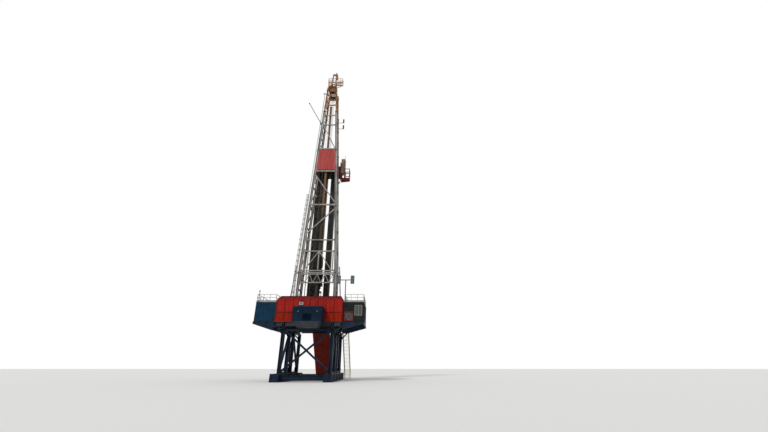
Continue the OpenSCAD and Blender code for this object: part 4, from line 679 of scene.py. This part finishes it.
def dress_drawworks():
    """Louvre frame, panels, latches, bolts and lifting eyes of the hood, and bolts of the pan below it."""
    low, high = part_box("drawworks_house")
    face = low.y + 0.012
    mid = (low.x + high.x) / 2
    fold = [(0.0, 0.0), (0.0, 0.010), (-0.03, 0.010), (-0.036, 0.0)]
    shapes = [frame_round((mid, face, low.z + 0.26), (0.29, 0, 0), (0, 0, 0.2), fold)]
    z = low.z + np.array([0.12, 0.26, 0.40, 0.54, 0.68])
    for x0, x1 in ((low.x + 0.04, mid - 0.34), (mid + 0.34, high.x - 0.04)):
        shapes.append(row((x0, x1), face, z, pressed_rib(0.05, 0.03, 0.008), up=BACK))
    x = np.linspace(low.x + 0.08, high.x - 0.08, 15)
    for z in (low.z + 0.03, low.z + 0.79):
        shapes.append(bolts(places(x, face - 0.001, z), BACK, 0.010, 0.007))
    rib = pressed_rib(0.04, 0.02, 0.008)
    y = np.linspace(low.y + 0.12, high.y - 0.06, 6)
    for x, side in ((low.x, -1), (high.x, 1)):
        shapes.append(row(x, y, (low.z + 0.06, high.z - 0.08), rib, up=(side, 0, 0)))
    # Ribs of the top, clear of the slot for the fast line
    x = np.array([x for x in np.linspace(low.x + 0.1, high.x - 0.1, 12) if abs(x) > 0.11])
    shapes.append(row(x, (low.y + 0.09, high.y - 0.02), high.z, rib))
    for x in (low.x + 0.13, high.x - 0.07):
        shapes.append(lifting_eye((x, high.y - 0.1, high.z + 0.028), 0.03))
    piece("hood_trim", shapes, "drawworks_blue")
    x, z = mid + np.array([-0.62, 0.62]), low.z + 0.62
    pan_low, pan_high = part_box("drawworks_skid")
    pan_x = np.linspace(pan_low.x + 0.12, pan_high.x - 0.12, 13)
    latches = [row((x - 0.03, x + 0.03), face, z, rectangle(0.05, 0.006), up=BACK),
               row(x, face - 0.005, (z - 0.035, z + 0.035), rectangle(0.014, 0.007), up=BACK),
               bolts(places(pan_x, pan_low.y, pan_high.z - 0.03), BACK, 0.010, 0.007)]
    piece("hood_latches_and_pan_bolts", latches, "rail_grey")


# MAST

def shares_between(low, high, *shares):
    """Heights at given shares of the way from one height to another."""
    return [low + share * (high - low) for share in shares]


LEG_DEEP = 0.17
CROWN_LEG = 0.13
SHOE = 0.06
SPLICE = 0.025
INSET = SPLICE + BRACE / 2 + 0.012
LOWER_GIRTS = shares_between(WAIST, LOWER_TOP, 0.292, 0.46)
REAR_GIRTS = [WAIST - 0.85, WAIST - 0.2, WAIST + INSET, *LOWER_GIRTS, LOWER_TOP + 0.092, MIDDLE_TOP - 2.28,
              MIDDLE_TOP - INSET, MIDDLE_TOP + INSET, *shares_between(MIDDLE_TOP, UPPER_TOP, 0.632, 0.89)]
CROWN_GIRTS = shares_between(UPPER_TOP, CROWN, 0.287, 0.513, 0.762)
GUSSET_T = 0.008
REAR_GUSSET = [(-0.08, -0.09), (0.08, -0.05), (0.08, 0.05), (-0.08, 0.09)]
SIDE_GUSSET = [(-0.06, -0.045), (0.085, -0.06), (0.085, 0.06), (-0.06, 0.045)]
PANEL_RIB = pressed_rib(0.036, 0.018, 0.010)


def section_levels():
    """Heights of the side girts, four to each section at even steps between its splices."""
    joints = [FLOOR + SHOE, WAIST, LOWER_TOP, MIDDLE_TOP, UPPER_TOP, CROWN]
    return np.array([np.linspace(low + INSET, high - INSET, 4) for low, high in zip(joints, joints[1:])])


def rear_gussets(heights, leg):
    """Gusset plates and their bolts where the girts of the rear face meet the legs."""
    z = np.asarray(heights)
    x = half_width(z) - leg / 2 - 0.083
    back = REAR - BRACE / 2
    spots = ((-0.045, -0.02), (-0.045, 0.02), (0.0, -0.022), (0.0, 0.022), (0.05, -0.05), (0.05, 0.05))
    heads = np.concatenate([places(x + a, back - GUSSET_T, z + b) for a, b in spots])
    return both_sides([row(x, (back, back - GUSSET_T), z, REAR_GUSSET),
                       bolts(heads, BACK, 0.009, 0.008)])


def side_gussets(heights, leg):
    """Gusset plates and their bolts where the girts of the side faces meet the legs, on their outer faces."""
    z = np.asarray(heights)
    x = half_width(z) + BRACE / 2
    spots = ((-0.04, -0.025), (-0.04, 0.025), (0.03, -0.02), (0.03, 0.02))
    shapes = []
    for y, turn in ((REAR + leg / 2 + 0.06, 1), (FRONT - leg / 2 - 0.06, -1)):
        section = [(turn * a, b) for a, b in SIDE_GUSSET][::turn]
        heads = np.concatenate([places(x + GUSSET_T, y + turn * a, z + b) for a, b in spots])
        shapes += [row((x, x + GUSSET_T), y, z, section), bolts(heads, RIGHT, 0.008, 0.007)]
    return both_sides(shapes)


def splice_bolts():
    """Bolts and nuts through the lips of the splice plates, and bolts of the legs' and the struts' shoes."""
    lip_x, lip_y = LEG / 2 + 0.011, LEG_DEEP / 2 + 0.011
    round_leg = [(s * lip_x, b) for s in (-1, 1) for b in (-0.06, 0.0, 0.06)]
    round_leg += [(a, s * lip_y) for s in (-1, 1) for a in (-0.05, 0.05)]
    at = np.array([(half_width(z) + a, y + b, z) for z in (WAIST, LOWER_TOP, MIDDLE_TOP, UPPER_TOP)
                   for y in (REAR, FRONT) for a, b in round_leg])
    shoe = [(FOOT_HALF + a, y + b, FLOOR + SHOE) for y in (REAR, FRONT) for a in (-0.17, 0.17)
            for b in (-0.15, 0.15)]
    strut = [(2.0 + a, REAR + b, FLOOR + 0.08) for a in (-0.1, 0.1) for b in (-0.09, 0.09)]
    return both_sides([bolts(at + (0, 0, SPLICE), UP, 0.010, 0.012),
                       bolts(at - (0, 0, SPLICE), (0, 0, -1), 0.010, 0.014),
                       bolts(shoe, UP, 0.02, 0.02), bolts(strut, UP, 0.014, 0.014)])


def dress_mast():
    """Gussets, splice bolts, standpipe clamps and pressed ribs in the red panels."""
    levels = section_levels()
    piece("mast_gussets", rear_gussets(REAR_GIRTS, LEG) + side_gussets(levels[:4].ravel(), LEG_DEEP),
          "mast_galvanised")
    piece("crown_gussets", rear_gussets(CROWN_GIRTS, CROWN_LEG) + side_gussets(levels[4], CROWN_LEG),
          "crown_rust")
    piece("splice_bolts", splice_bolts(), "mast_galvanised")
    # U-bolts that hold the standpipe to its brackets
    pipe_x = -half_width(LOWER_TOP) + LEG / 2 + 0.13
    pipe_y = REAR + BRACE / 2 + 0.06
    bend = 0.041
    a = np.radians(np.linspace(-90, 90, 11))
    clamps = []
    for z in (WAIST - 0.85, *LOWER_GIRTS, LOWER_TOP + INSET):
        ends = places(pipe_x + np.array([-bend, bend]), pipe_y - 0.06, z)
        over = places(pipe_x + bend * np.sin(a), pipe_y + bend * np.cos(a), z)
        clamps.append(tube(np.concatenate([ends[:1], over, ends[1:]]), 0.006, UP))
    piece("standpipe_clamps", clamps, "mast_galvanised")
    # Ribs of the red panels at board level, whose side sheets lean with the legs
    low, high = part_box("mast_windwalls")
    x = np.arange(-0.6, 0.61, 0.08)
    rear = row(x, low.y, (low.z + 0.03, high.z - 0.03), PANEL_RIB, up=BACK)
    y = np.linspace(REAR + 0.14, FRONT - 0.14, 11)
    z0, z1 = low.z + 0.03, high.z - 0.06
    off = BRACE / 2 * 1.052 + 0.0205
    side = row((half_width(z0) + off, half_width(z1) + off), y, (z0, z1), PANEL_RIB, up=RIGHT)
    piece("mast_panel_ribs", [rear, side, mirrored(side)], "windwall_red")
    # The board's panels and their ribs take the red darkened as painted shade
    low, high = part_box("board_windwalls")
    z0, z1 = low.z + 0.02, high.z - 0.02
    y = np.linspace(low.y + 0.09, high.y - 0.06, 8)
    side = row(high.x, y, (z0, z1), PANEL_RIB, up=RIGHT)
    x = np.linspace(low.x + 0.08, high.x - 0.08, 26)
    back = row(x, high.y, (z0, z1), PANEL_RIB, up=AHEAD)
    piece("board_panel_ribs", [side, mirrored(side), back], "panel_rose")


# RACKING BOARD, LANDING AND CROWN CATWALK

PIPE_R = 0.041
PIPE_PITCH, LINE_PITCH = 0.098, 0.11


def dress_platforms():
    """Latches of the racking board, sheets and bearing bars of the landing, and the catwalk's rods."""
    board_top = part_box("racking_board")[1].z
    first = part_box("pipe_stands_left")[0].y + PIPE_R
    latches = []
    for stands, count in (("pipe_stands_left", 10), ("pipe_stands_right", 5)):
        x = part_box(stands)[0].x + PIPE_R + 0.045
        latches += [(x + PIPE_PITCH * k, first + LINE_PITCH * (line + 0.5), board_top - 0.01)
                    for line in range(5) for k in range(count)]
    latches = np.array(latches)
    section = [(-0.012, 0.0), (0.012, 0.0), (0.012, 0.012), (0.006, 0.02), (-0.006, 0.02), (-0.012, 0.012)]
    piece("finger_latches", [bars(latches - (0, 0.02, 0), latches + (0, 0.012, 0), section)], "guard_red")
    # Sheets on three sides and the floor of the shelter, with ribs on the upright ones
    low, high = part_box("landing")
    x0, x1, y0, y1 = low.x + 0.01, low.x + 0.365, low.y + 0.08, high.y - 0.08
    z0, z1 = low.z + 0.7, low.z + 2.25
    mid_x, mid_y = (x0 + x1) / 2, (y0 + y1) / 2
    end_sheet, long_sheet = rectangle(x1 - x0, 0.004), rectangle(y1 - y0, 0.004)
    rib = pressed_rib(0.03, 0.015, 0.009)
    sheets = [row(x1, mid_y, (z0, z1), long_sheet, up=RIGHT),
              row((x0, x1), mid_y, z0, long_sheet, up=(0, 0, -1))]
    x = np.linspace(x0 + 0.03, x1 - 0.03, 6)
    for y, out in ((y0, -1), (y1, 1)):
        sheets.append(row(mid_x, y, (z0, z1), end_sheet, up=(0, out, 0)))
        sheets.append(row(x, y + 0.003 * out, (z0 + 0.02, z1 - 0.02), rib, up=(0, out, 0)))
    y = np.linspace(y0 + 0.03, y1 - 0.03, 7)
    sheets.append(row(x1 + 0.003, y, (z0 + 0.02, z1 - 0.02), rib, up=RIGHT))
    piece("shelter_sheets", sheets, "guard_red", finish=SHELTER_GREY)
    y, z = np.arange(low.y + 0.02, high.y - 0.02, 0.03), board_top - 0.3
    bearing = row((low.x + 0.06, high.x - 0.06), y, z, rectangle(0.006, 0.012))
    piece("landing_grating", [bearing], "guard_red")
    low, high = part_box("crown_rail")
    y, z = np.arange(low.y + 0.07, high.y - 0.05, 0.055), CROWN + 0.874
    rods = [row((x0, x1), y, z, regular(0.005, 6))
            for x0, x1 in ((low.x + 0.01, -0.14), (0.14, high.x - 0.03))]
    piece("catwalk_cross_rods", rods, "crown_rust")


# HOISTING GEAR

LINE_R = 0.009
SHEAVE_R = 0.33
SHEAVE_PITCH = 0.066
SHEAVE_X = SHEAVE_PITCH * (np.arange(4) - 1.5)
CROWN_SHAFT = CROWN + 0.736
BLOCK_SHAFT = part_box("travelling_block")[1].z - 0.42
FAST_Y, FAST_Z, FAST_R = REAR + 0.133, CROWN + 0.636, 0.23


def rope_turn(x, z, from_deg, to_deg, count):
    """A line in the groove of a sheave at x, on a shaft at height z."""
    return tube(arc((x, WELL_Y, z), SHEAVE_R, from_deg, to_deg, count), LINE_R, RIGHT)


def dress_lines():
    """The drill lines between crown and block, and their turns over both sets of sheaves.

    Each line is a six-lobed rod with points only at its two ends.
    """
    a = around(18)
    radius = LINE_R * (0.94 + 0.06 * np.cos(6 * a))
    rope = np.stack([radius * np.cos(a), radius * np.sin(a)], -1)
    x, y = np.repeat(SHEAVE_X, 2), WELL_Y + SHEAVE_R * np.tile([-1, 1], 4)
    rods = row(x, y, (BLOCK_SHAFT, CROWN_SHAFT), rope, up=AHEAD)
    lines = build("drill_line_parts", [rods], "wire_rope")
    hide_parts("drill_lines")
    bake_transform(lines)
    over = [rope_turn(x, CROWN_SHAFT, 180, 0, 25) for x in SHEAVE_X]
    # The dead line turns over the fifth sheave, and the fast line over its own and on to the crown cluster
    over.append(rope_turn(-2.5 * SHEAVE_PITCH, CROWN_SHAFT, 180, 20, 23))
    leaves = 107
    bend = arc((0.0, FAST_Y, FAST_Z), FAST_R, 180, leaves, 12)
    lands = arc((SHEAVE_PITCH / 2, WELL_Y, CROWN_SHAFT), SHEAVE_R, leaves, leaves, 1)
    over.append(tube(np.concatenate([bend, lands]), LINE_R, RIGHT))
    piece("crown_line_turns", over, "wire_rope")
    under = [rope_turn(x, BLOCK_SHAFT, 180, 360, 25) for x in SHEAVE_X]
    piece("block_line_turns", under, "wire_rope", body="hoist")


def cap(centre, radius, height):
    """Bearing cap that faces +X: a stepped disc with a domed middle."""
    steps = np.array([(1, 0), (1, 0.45), (0.9, 0.6), (0.6, 0.6), (0.55, 0.8), (0.2, 1)])
    return lathe(steps * (radius, height), centre, RIGHT)


def dress_sheaves():
    """Bearing caps on the crown and block shafts, and bolts round the block's cheeks."""
    caps = [cap((0.34, WELL_Y, CROWN_SHAFT), 0.06, 0.03), cap((0.11, FAST_Y, FAST_Z), 0.055, 0.025)]
    piece("crown_bearing_caps", both_sides(caps), "crown_rust")
    cheek = 0.172
    y = np.array([-0.2, 0.2, 0.34, 0.35, 0.19, -0.19, -0.35, -0.34, 0.0, 0.0, 0.28, -0.28])
    z = np.array([-0.36, -0.36, -0.14, 0.04, 0.36, 0.36, 0.04, -0.14, 0.37, -0.38, 0.2, 0.2])
    shapes = [cap((0.176, WELL_Y, BLOCK_SHAFT), 0.08, 0.03),
              bolts(places(cheek, WELL_Y + y, BLOCK_SHAFT + z), RIGHT, 0.016, 0.012),
              bolts(places(0.08, WELL_Y + np.array([-0.11, 0.11]), BLOCK_SHAFT + 0.42), UP, 0.014, 0.012)]
    piece("block_caps_and_bolts", both_sides(shapes), "block_dark", body="hoist")


def dress_top_drive():
    """Cooling fins round the two motors, flange bolts on the gear case and a ribbed blower cover."""
    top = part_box("travelling_block")[0].z
    fins, pitch, foot = 13, 0.042, -1.12
    outer = [(r, foot + pitch * k + dz) for k in range(fins)
             for r, dz in ((0.127, 0.0), (0.137, 0.004), (0.137, 0.014), (0.127, 0.018))]
    sleeve = outer + [(0.12, outer[-1][1]), (0.12, outer[0][1])]
    motor = lathe(sleeve, (0.15, WELL_Y - 0.02, top), UP, 24, ring=True)
    case = [(x, WELL_Y - 0.26, top - 1.33 + z) for x in (-0.24, -0.12, 0.0, 0.12, 0.24) for z in (0.03, 0.17)]
    x, y = np.linspace(-0.24, 0.24, 11), WELL_Y + 0.26
    blower = row(x, y, (top - 0.55, top - 0.41), rectangle(0.012, 0.012), up=AHEAD)
    flange = lathe([(0.15, 0.0), (0.162, 0.0), (0.162, 0.02), (0.15, 0.02)], (0, WELL_Y, top - 1.85),
                   UP, 24, ring=True)
    piece("top_drive_fins_and_bolts", [motor, mirrored(motor), bolts(case, BACK), blower, flange],
          "drive_dark", body="hoist")


# DRILL FLOOR, RAMP, STAIRS AND SUBSTRUCTURE

def dress_floor():
    """Bushing ring in the rotary table, lap strips of the deck, ramp skids and stair nosings."""
    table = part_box("rotary_table")[1].z
    ring = lathe([(0.18, -0.03), (0.24, 0.0), (0.24, 0.012), (0.232, 0.018), (0.19, 0.018), (0.178, 0.008),
                  (0.178, -0.03)], (0, WELL_Y, table), UP, 40, ring=True)
    circle = 0.33
    a = around(12)
    heads = places(circle * np.cos(a), WELL_Y + circle * np.sin(a), table)
    piece("bushing_ring_and_bolts", [ring, bolts(heads, UP, 0.016, 0.014)], "rotary_steel")
    # Lap strips between the deck's plates, clear of the mast's feet and the racked pipe
    across = [(-2.2, y, 2.2, y) for y in (-2.2, -1.4)] + [(-0.9, y, 0.9, y) for y in (-0.55, 2.0)]
    along = [(x, -2.5, x, -1.0) for x in (-1.1, 0.0, 1.1)] + [(x, 1.6, x, 2.5) for x in (-1.1, 1.1)]
    x0, y0, x1, y1 = np.array(across + along).T
    laps = row((x0, x1), (WELL_Y + y0, WELL_Y + y1), FLOOR, rectangle(0.05, 0.003))
    piece("deck_lap_strips", [laps], "deck_plate")
    low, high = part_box("pipe_ramp")
    x = np.linspace(-0.5, 0.5, 5)
    half_round = [(0.02 * math.cos(t), 0.02 * math.sin(t)) for t in np.linspace(0, math.pi, 9)]
    skids = row(x, (low.y + 0.01, high.y - 0.02), (FLOOR - 0.012, 0.02), half_round)
    piece("ramp_skid_bars", [skids], "rotary_steel")
    treads, run = 35, 3.38
    z = FLOOR * (1 - np.arange(1, treads + 1) / (treads + 1))
    y = WELL_Y + 2.588 + run * (1 - z / FLOOR)
    nosing = row((STAIR[0] + 0.032, STAIR[1] - 0.032), y, z, pressed_rib(0.024, 0.016, 0.005))
    piece("stair_nosings", [nosing], "rail_yellow")


def dress_substructure():
    """Gussets where the braces of the side frames meet the columns, and pin bosses on the columns."""
    column_x = 1.65
    rear, mast_rear, mast_front, front = columns = (-2.4, REAR - WELL_Y, FRONT - WELL_Y, 2.4)
    low, high = 0.6, 3.14
    # Column, height, and the side of the column that the brace is on
    ends = [(rear, low, 1), (mast_rear, high, -1), (mast_rear, high, 1), (mast_front, low, -1),
            (mast_rear, low, 1), (mast_front, high, -1), (front, low, -1), (mast_front, high, 1)]
    y, z, side = np.array(ends).T
    at = places(column_x + 0.06, WELL_Y + y + 0.27 * side, z + np.where(z == low, 0.12, -0.12))
    plate = [(-0.15, -0.15), (0.15, -0.15), (0.15, 0.15), (-0.15, 0.15)]
    spots = ((-0.1, -0.1), (0.1, -0.1), (-0.1, 0.1), (0.1, 0.1), (0.0, 0.0))
    heads = np.concatenate([at + (0.01, a, b) for a, b in spots])
    shapes = [bars(at, at + (0.01, 0, 0), plate), bolts(heads, RIGHT, 0.014, 0.012)]
    shapes += [cap((column_x + 0.11, WELL_Y + y, z), 0.06, 0.04) for y in columns for z in (0.72, 3.05)]
    piece("substructure_gussets_and_pins", both_sides(shapes), "dark_blue_steel")


# LAMPS

def dress_lamps():
    """Bezels, fins and fluted glasses of the floodlights, and guards round the two warning lamps."""
    low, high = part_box("light_pole")
    mid, face = (low.x + high.x) / 2, low.y
    lamp_z, half_w, half_h = high.z - 0.28, 0.125, 0.28
    z0, z1 = lamp_z - half_h + 0.013, lamp_z + half_h - 0.013
    fins = lamp_z + np.array([-0.24, -0.18, -0.12, -0.06, 0.08, 0.14, 0.2])
    bezel = [(0.0, -0.004), (0.016, -0.004), (0.016, 0.008), (0.0, 0.008), (-0.004, 0.004)]
    flute = [(-0.007, -0.001), (0.007, -0.001), (0.004, 0.012), (-0.004, 0.012)]
    rims, glasses = [], []
    for x in (mid - 0.482, mid + 0.482):
        u = x + np.linspace(-half_w + 0.022, half_w - 0.022, 15)
        rims.append(frame_round((x, face, lamp_z), (half_w, 0, 0), (0, 0, half_h), bezel))
        rims.append(row((x - 0.11, x + 0.11), face + 0.11, fins, rectangle(0.01, 0.016), up=AHEAD))
        glasses.append(row(u, face + 0.021, (z0, z1), flute, up=BACK))
    piece("pole_lamp_bezels_and_fins", rims, "lamp_body")
    piece("pole_lamp_glasses", glasses, "window_glass", finish=LENS_GLASS)
    # The lamp on the drawworks house
    low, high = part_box("drawworks_house")
    x, y, z = -0.365, low.y + 0.072, high.z + 0.165
    shell = [(-0.002, 0.0), (0.03, 0.0), (0.03, 0.134), (-0.002, 0.134)]
    lamp = [frame_round((x, y, z), (0.11, 0, 0), (0, 0, 0.075), bezel),
            frame_round((x, y + 0.14, z), (0.112, 0, 0), (0, 0, 0.077), shell)]
    piece("hood_lamp_shell", lamp, "lamp_body", finish=HOOD_LAMP_WHITE)
    u = x + np.linspace(-0.085, 0.085, 11)
    glass = row(u, y, (z - 0.06, z + 0.06), pressed_rib(0.015, 0.008, 0.005), up=BACK)
    piece("hood_lamp_glass", [glass], "window_glass", finish=LENS_GLASS)
    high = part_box("warning_lamps")[1]
    x, tall, wire_r = high.x - 0.06, 0.36, 0.063
    band = [(0.059, 0.0), (0.067, 0.0), (0.067, 0.012), (0.059, 0.012)]
    a = around(8)
    wire_x, wire_y = x + wire_r * np.cos(a), REAR + wire_r * np.sin(a)
    guards = []
    for top in (high.z, high.z - 0.69):
        guards += [lathe(band, (x, REAR, top + dz), ring=True) for dz in (-tall, -0.24, -0.12, -0.012)]
        guards.append(row(wire_x, wire_y, (top - tall, top), regular(0.004, 6), up=AHEAD))
    piece("warning_lamp_guards", guards, "guard_red")


# STAGE, LIGHTS AND CAMERA

def make_stage():
    """A plain pale floor, far larger than the rig."""
    reach = 400.0
    corners = [(-reach, -reach, 0), (reach, -reach, 0), (reach, reach, 0), (-reach, reach, 0)]
    mesh = bpy.data.meshes.new("floor")
    mesh.from_pydata(corners, [], [(0, 1, 2, 3)])
    floor = bpy.data.objects.new("floor", mesh)
    bpy.context.scene.collection.objects.link(floor)
    material, tree, shader, _ = blank("pale_studio_floor")
    node(tree, shader, Base_Color=linear("#e6e6e4"), Roughness=0.9)
    mesh.materials.append(material)


def make_lights():
    """Even light from the world, white where the camera, gloss and glass look, and one broad soft sun."""
    world = bpy.data.worlds.new("studio")
    bpy.context.scene.world = world
    world.use_nodes = True
    tree = world.node_tree
    path = node(tree, "ShaderNodeLightPath").outputs
    larger = {"operation": "MAXIMUM"}
    seen = node(tree, "ShaderNodeMath", larger, _0=path["Is Camera Ray"], _1=path["Is Glossy Ray"])
    seen = node(tree, "ShaderNodeMath", larger, _0=seen.outputs[0], _1=path["Is Transmission Ray"])
    strength = node(tree, "ShaderNodeMapRange", Value=seen.outputs[0], To_Min=0.55, To_Max=1.0)
    node(tree, tree.nodes["Background"], Color=WHITE, Strength=strength.outputs["Result"])
    sun = bpy.data.lights.new("sun", "SUN")
    sun.energy = 1.7
    sun.angle = math.radians(12)
    lamp = bpy.data.objects.new("sun", sun)
    lamp.rotation_euler = (math.radians(52), 0, math.radians(-28))
    bpy.context.scene.collection.objects.link(lamp)


def make_camera():
    """The photograph's view: close to the ground, off to the right, looking up at the drawworks side."""
    distance, side, eye_height, pitch = 24.0, 5.13, 0.8, 24.03
    camera = bpy.data.cameras.new("camera")
    camera.lens = 16.0
    camera.sensor_width = 36.0
    camera.clip_end = 500
    eye = bpy.data.objects.new("camera", camera)
    eye.location = (side, WELL_Y - WALL_Y - distance, eye_height)
    eye.rotation_euler = (math.radians(90 + pitch), 0, 0)
    bpy.context.scene.collection.objects.link(eye)
    bpy.context.scene.camera = eye


dress_windwalls()
dress_houses()
dress_drawworks()
dress_mast()
dress_platforms()
dress_lines()
dress_sheaves()
dress_top_drive()
dress_floor()
dress_substructure()
dress_lamps()
make_stage()
make_lights()
make_camera()
bpy.context.scene.view_settings.view_transform = "Standard"
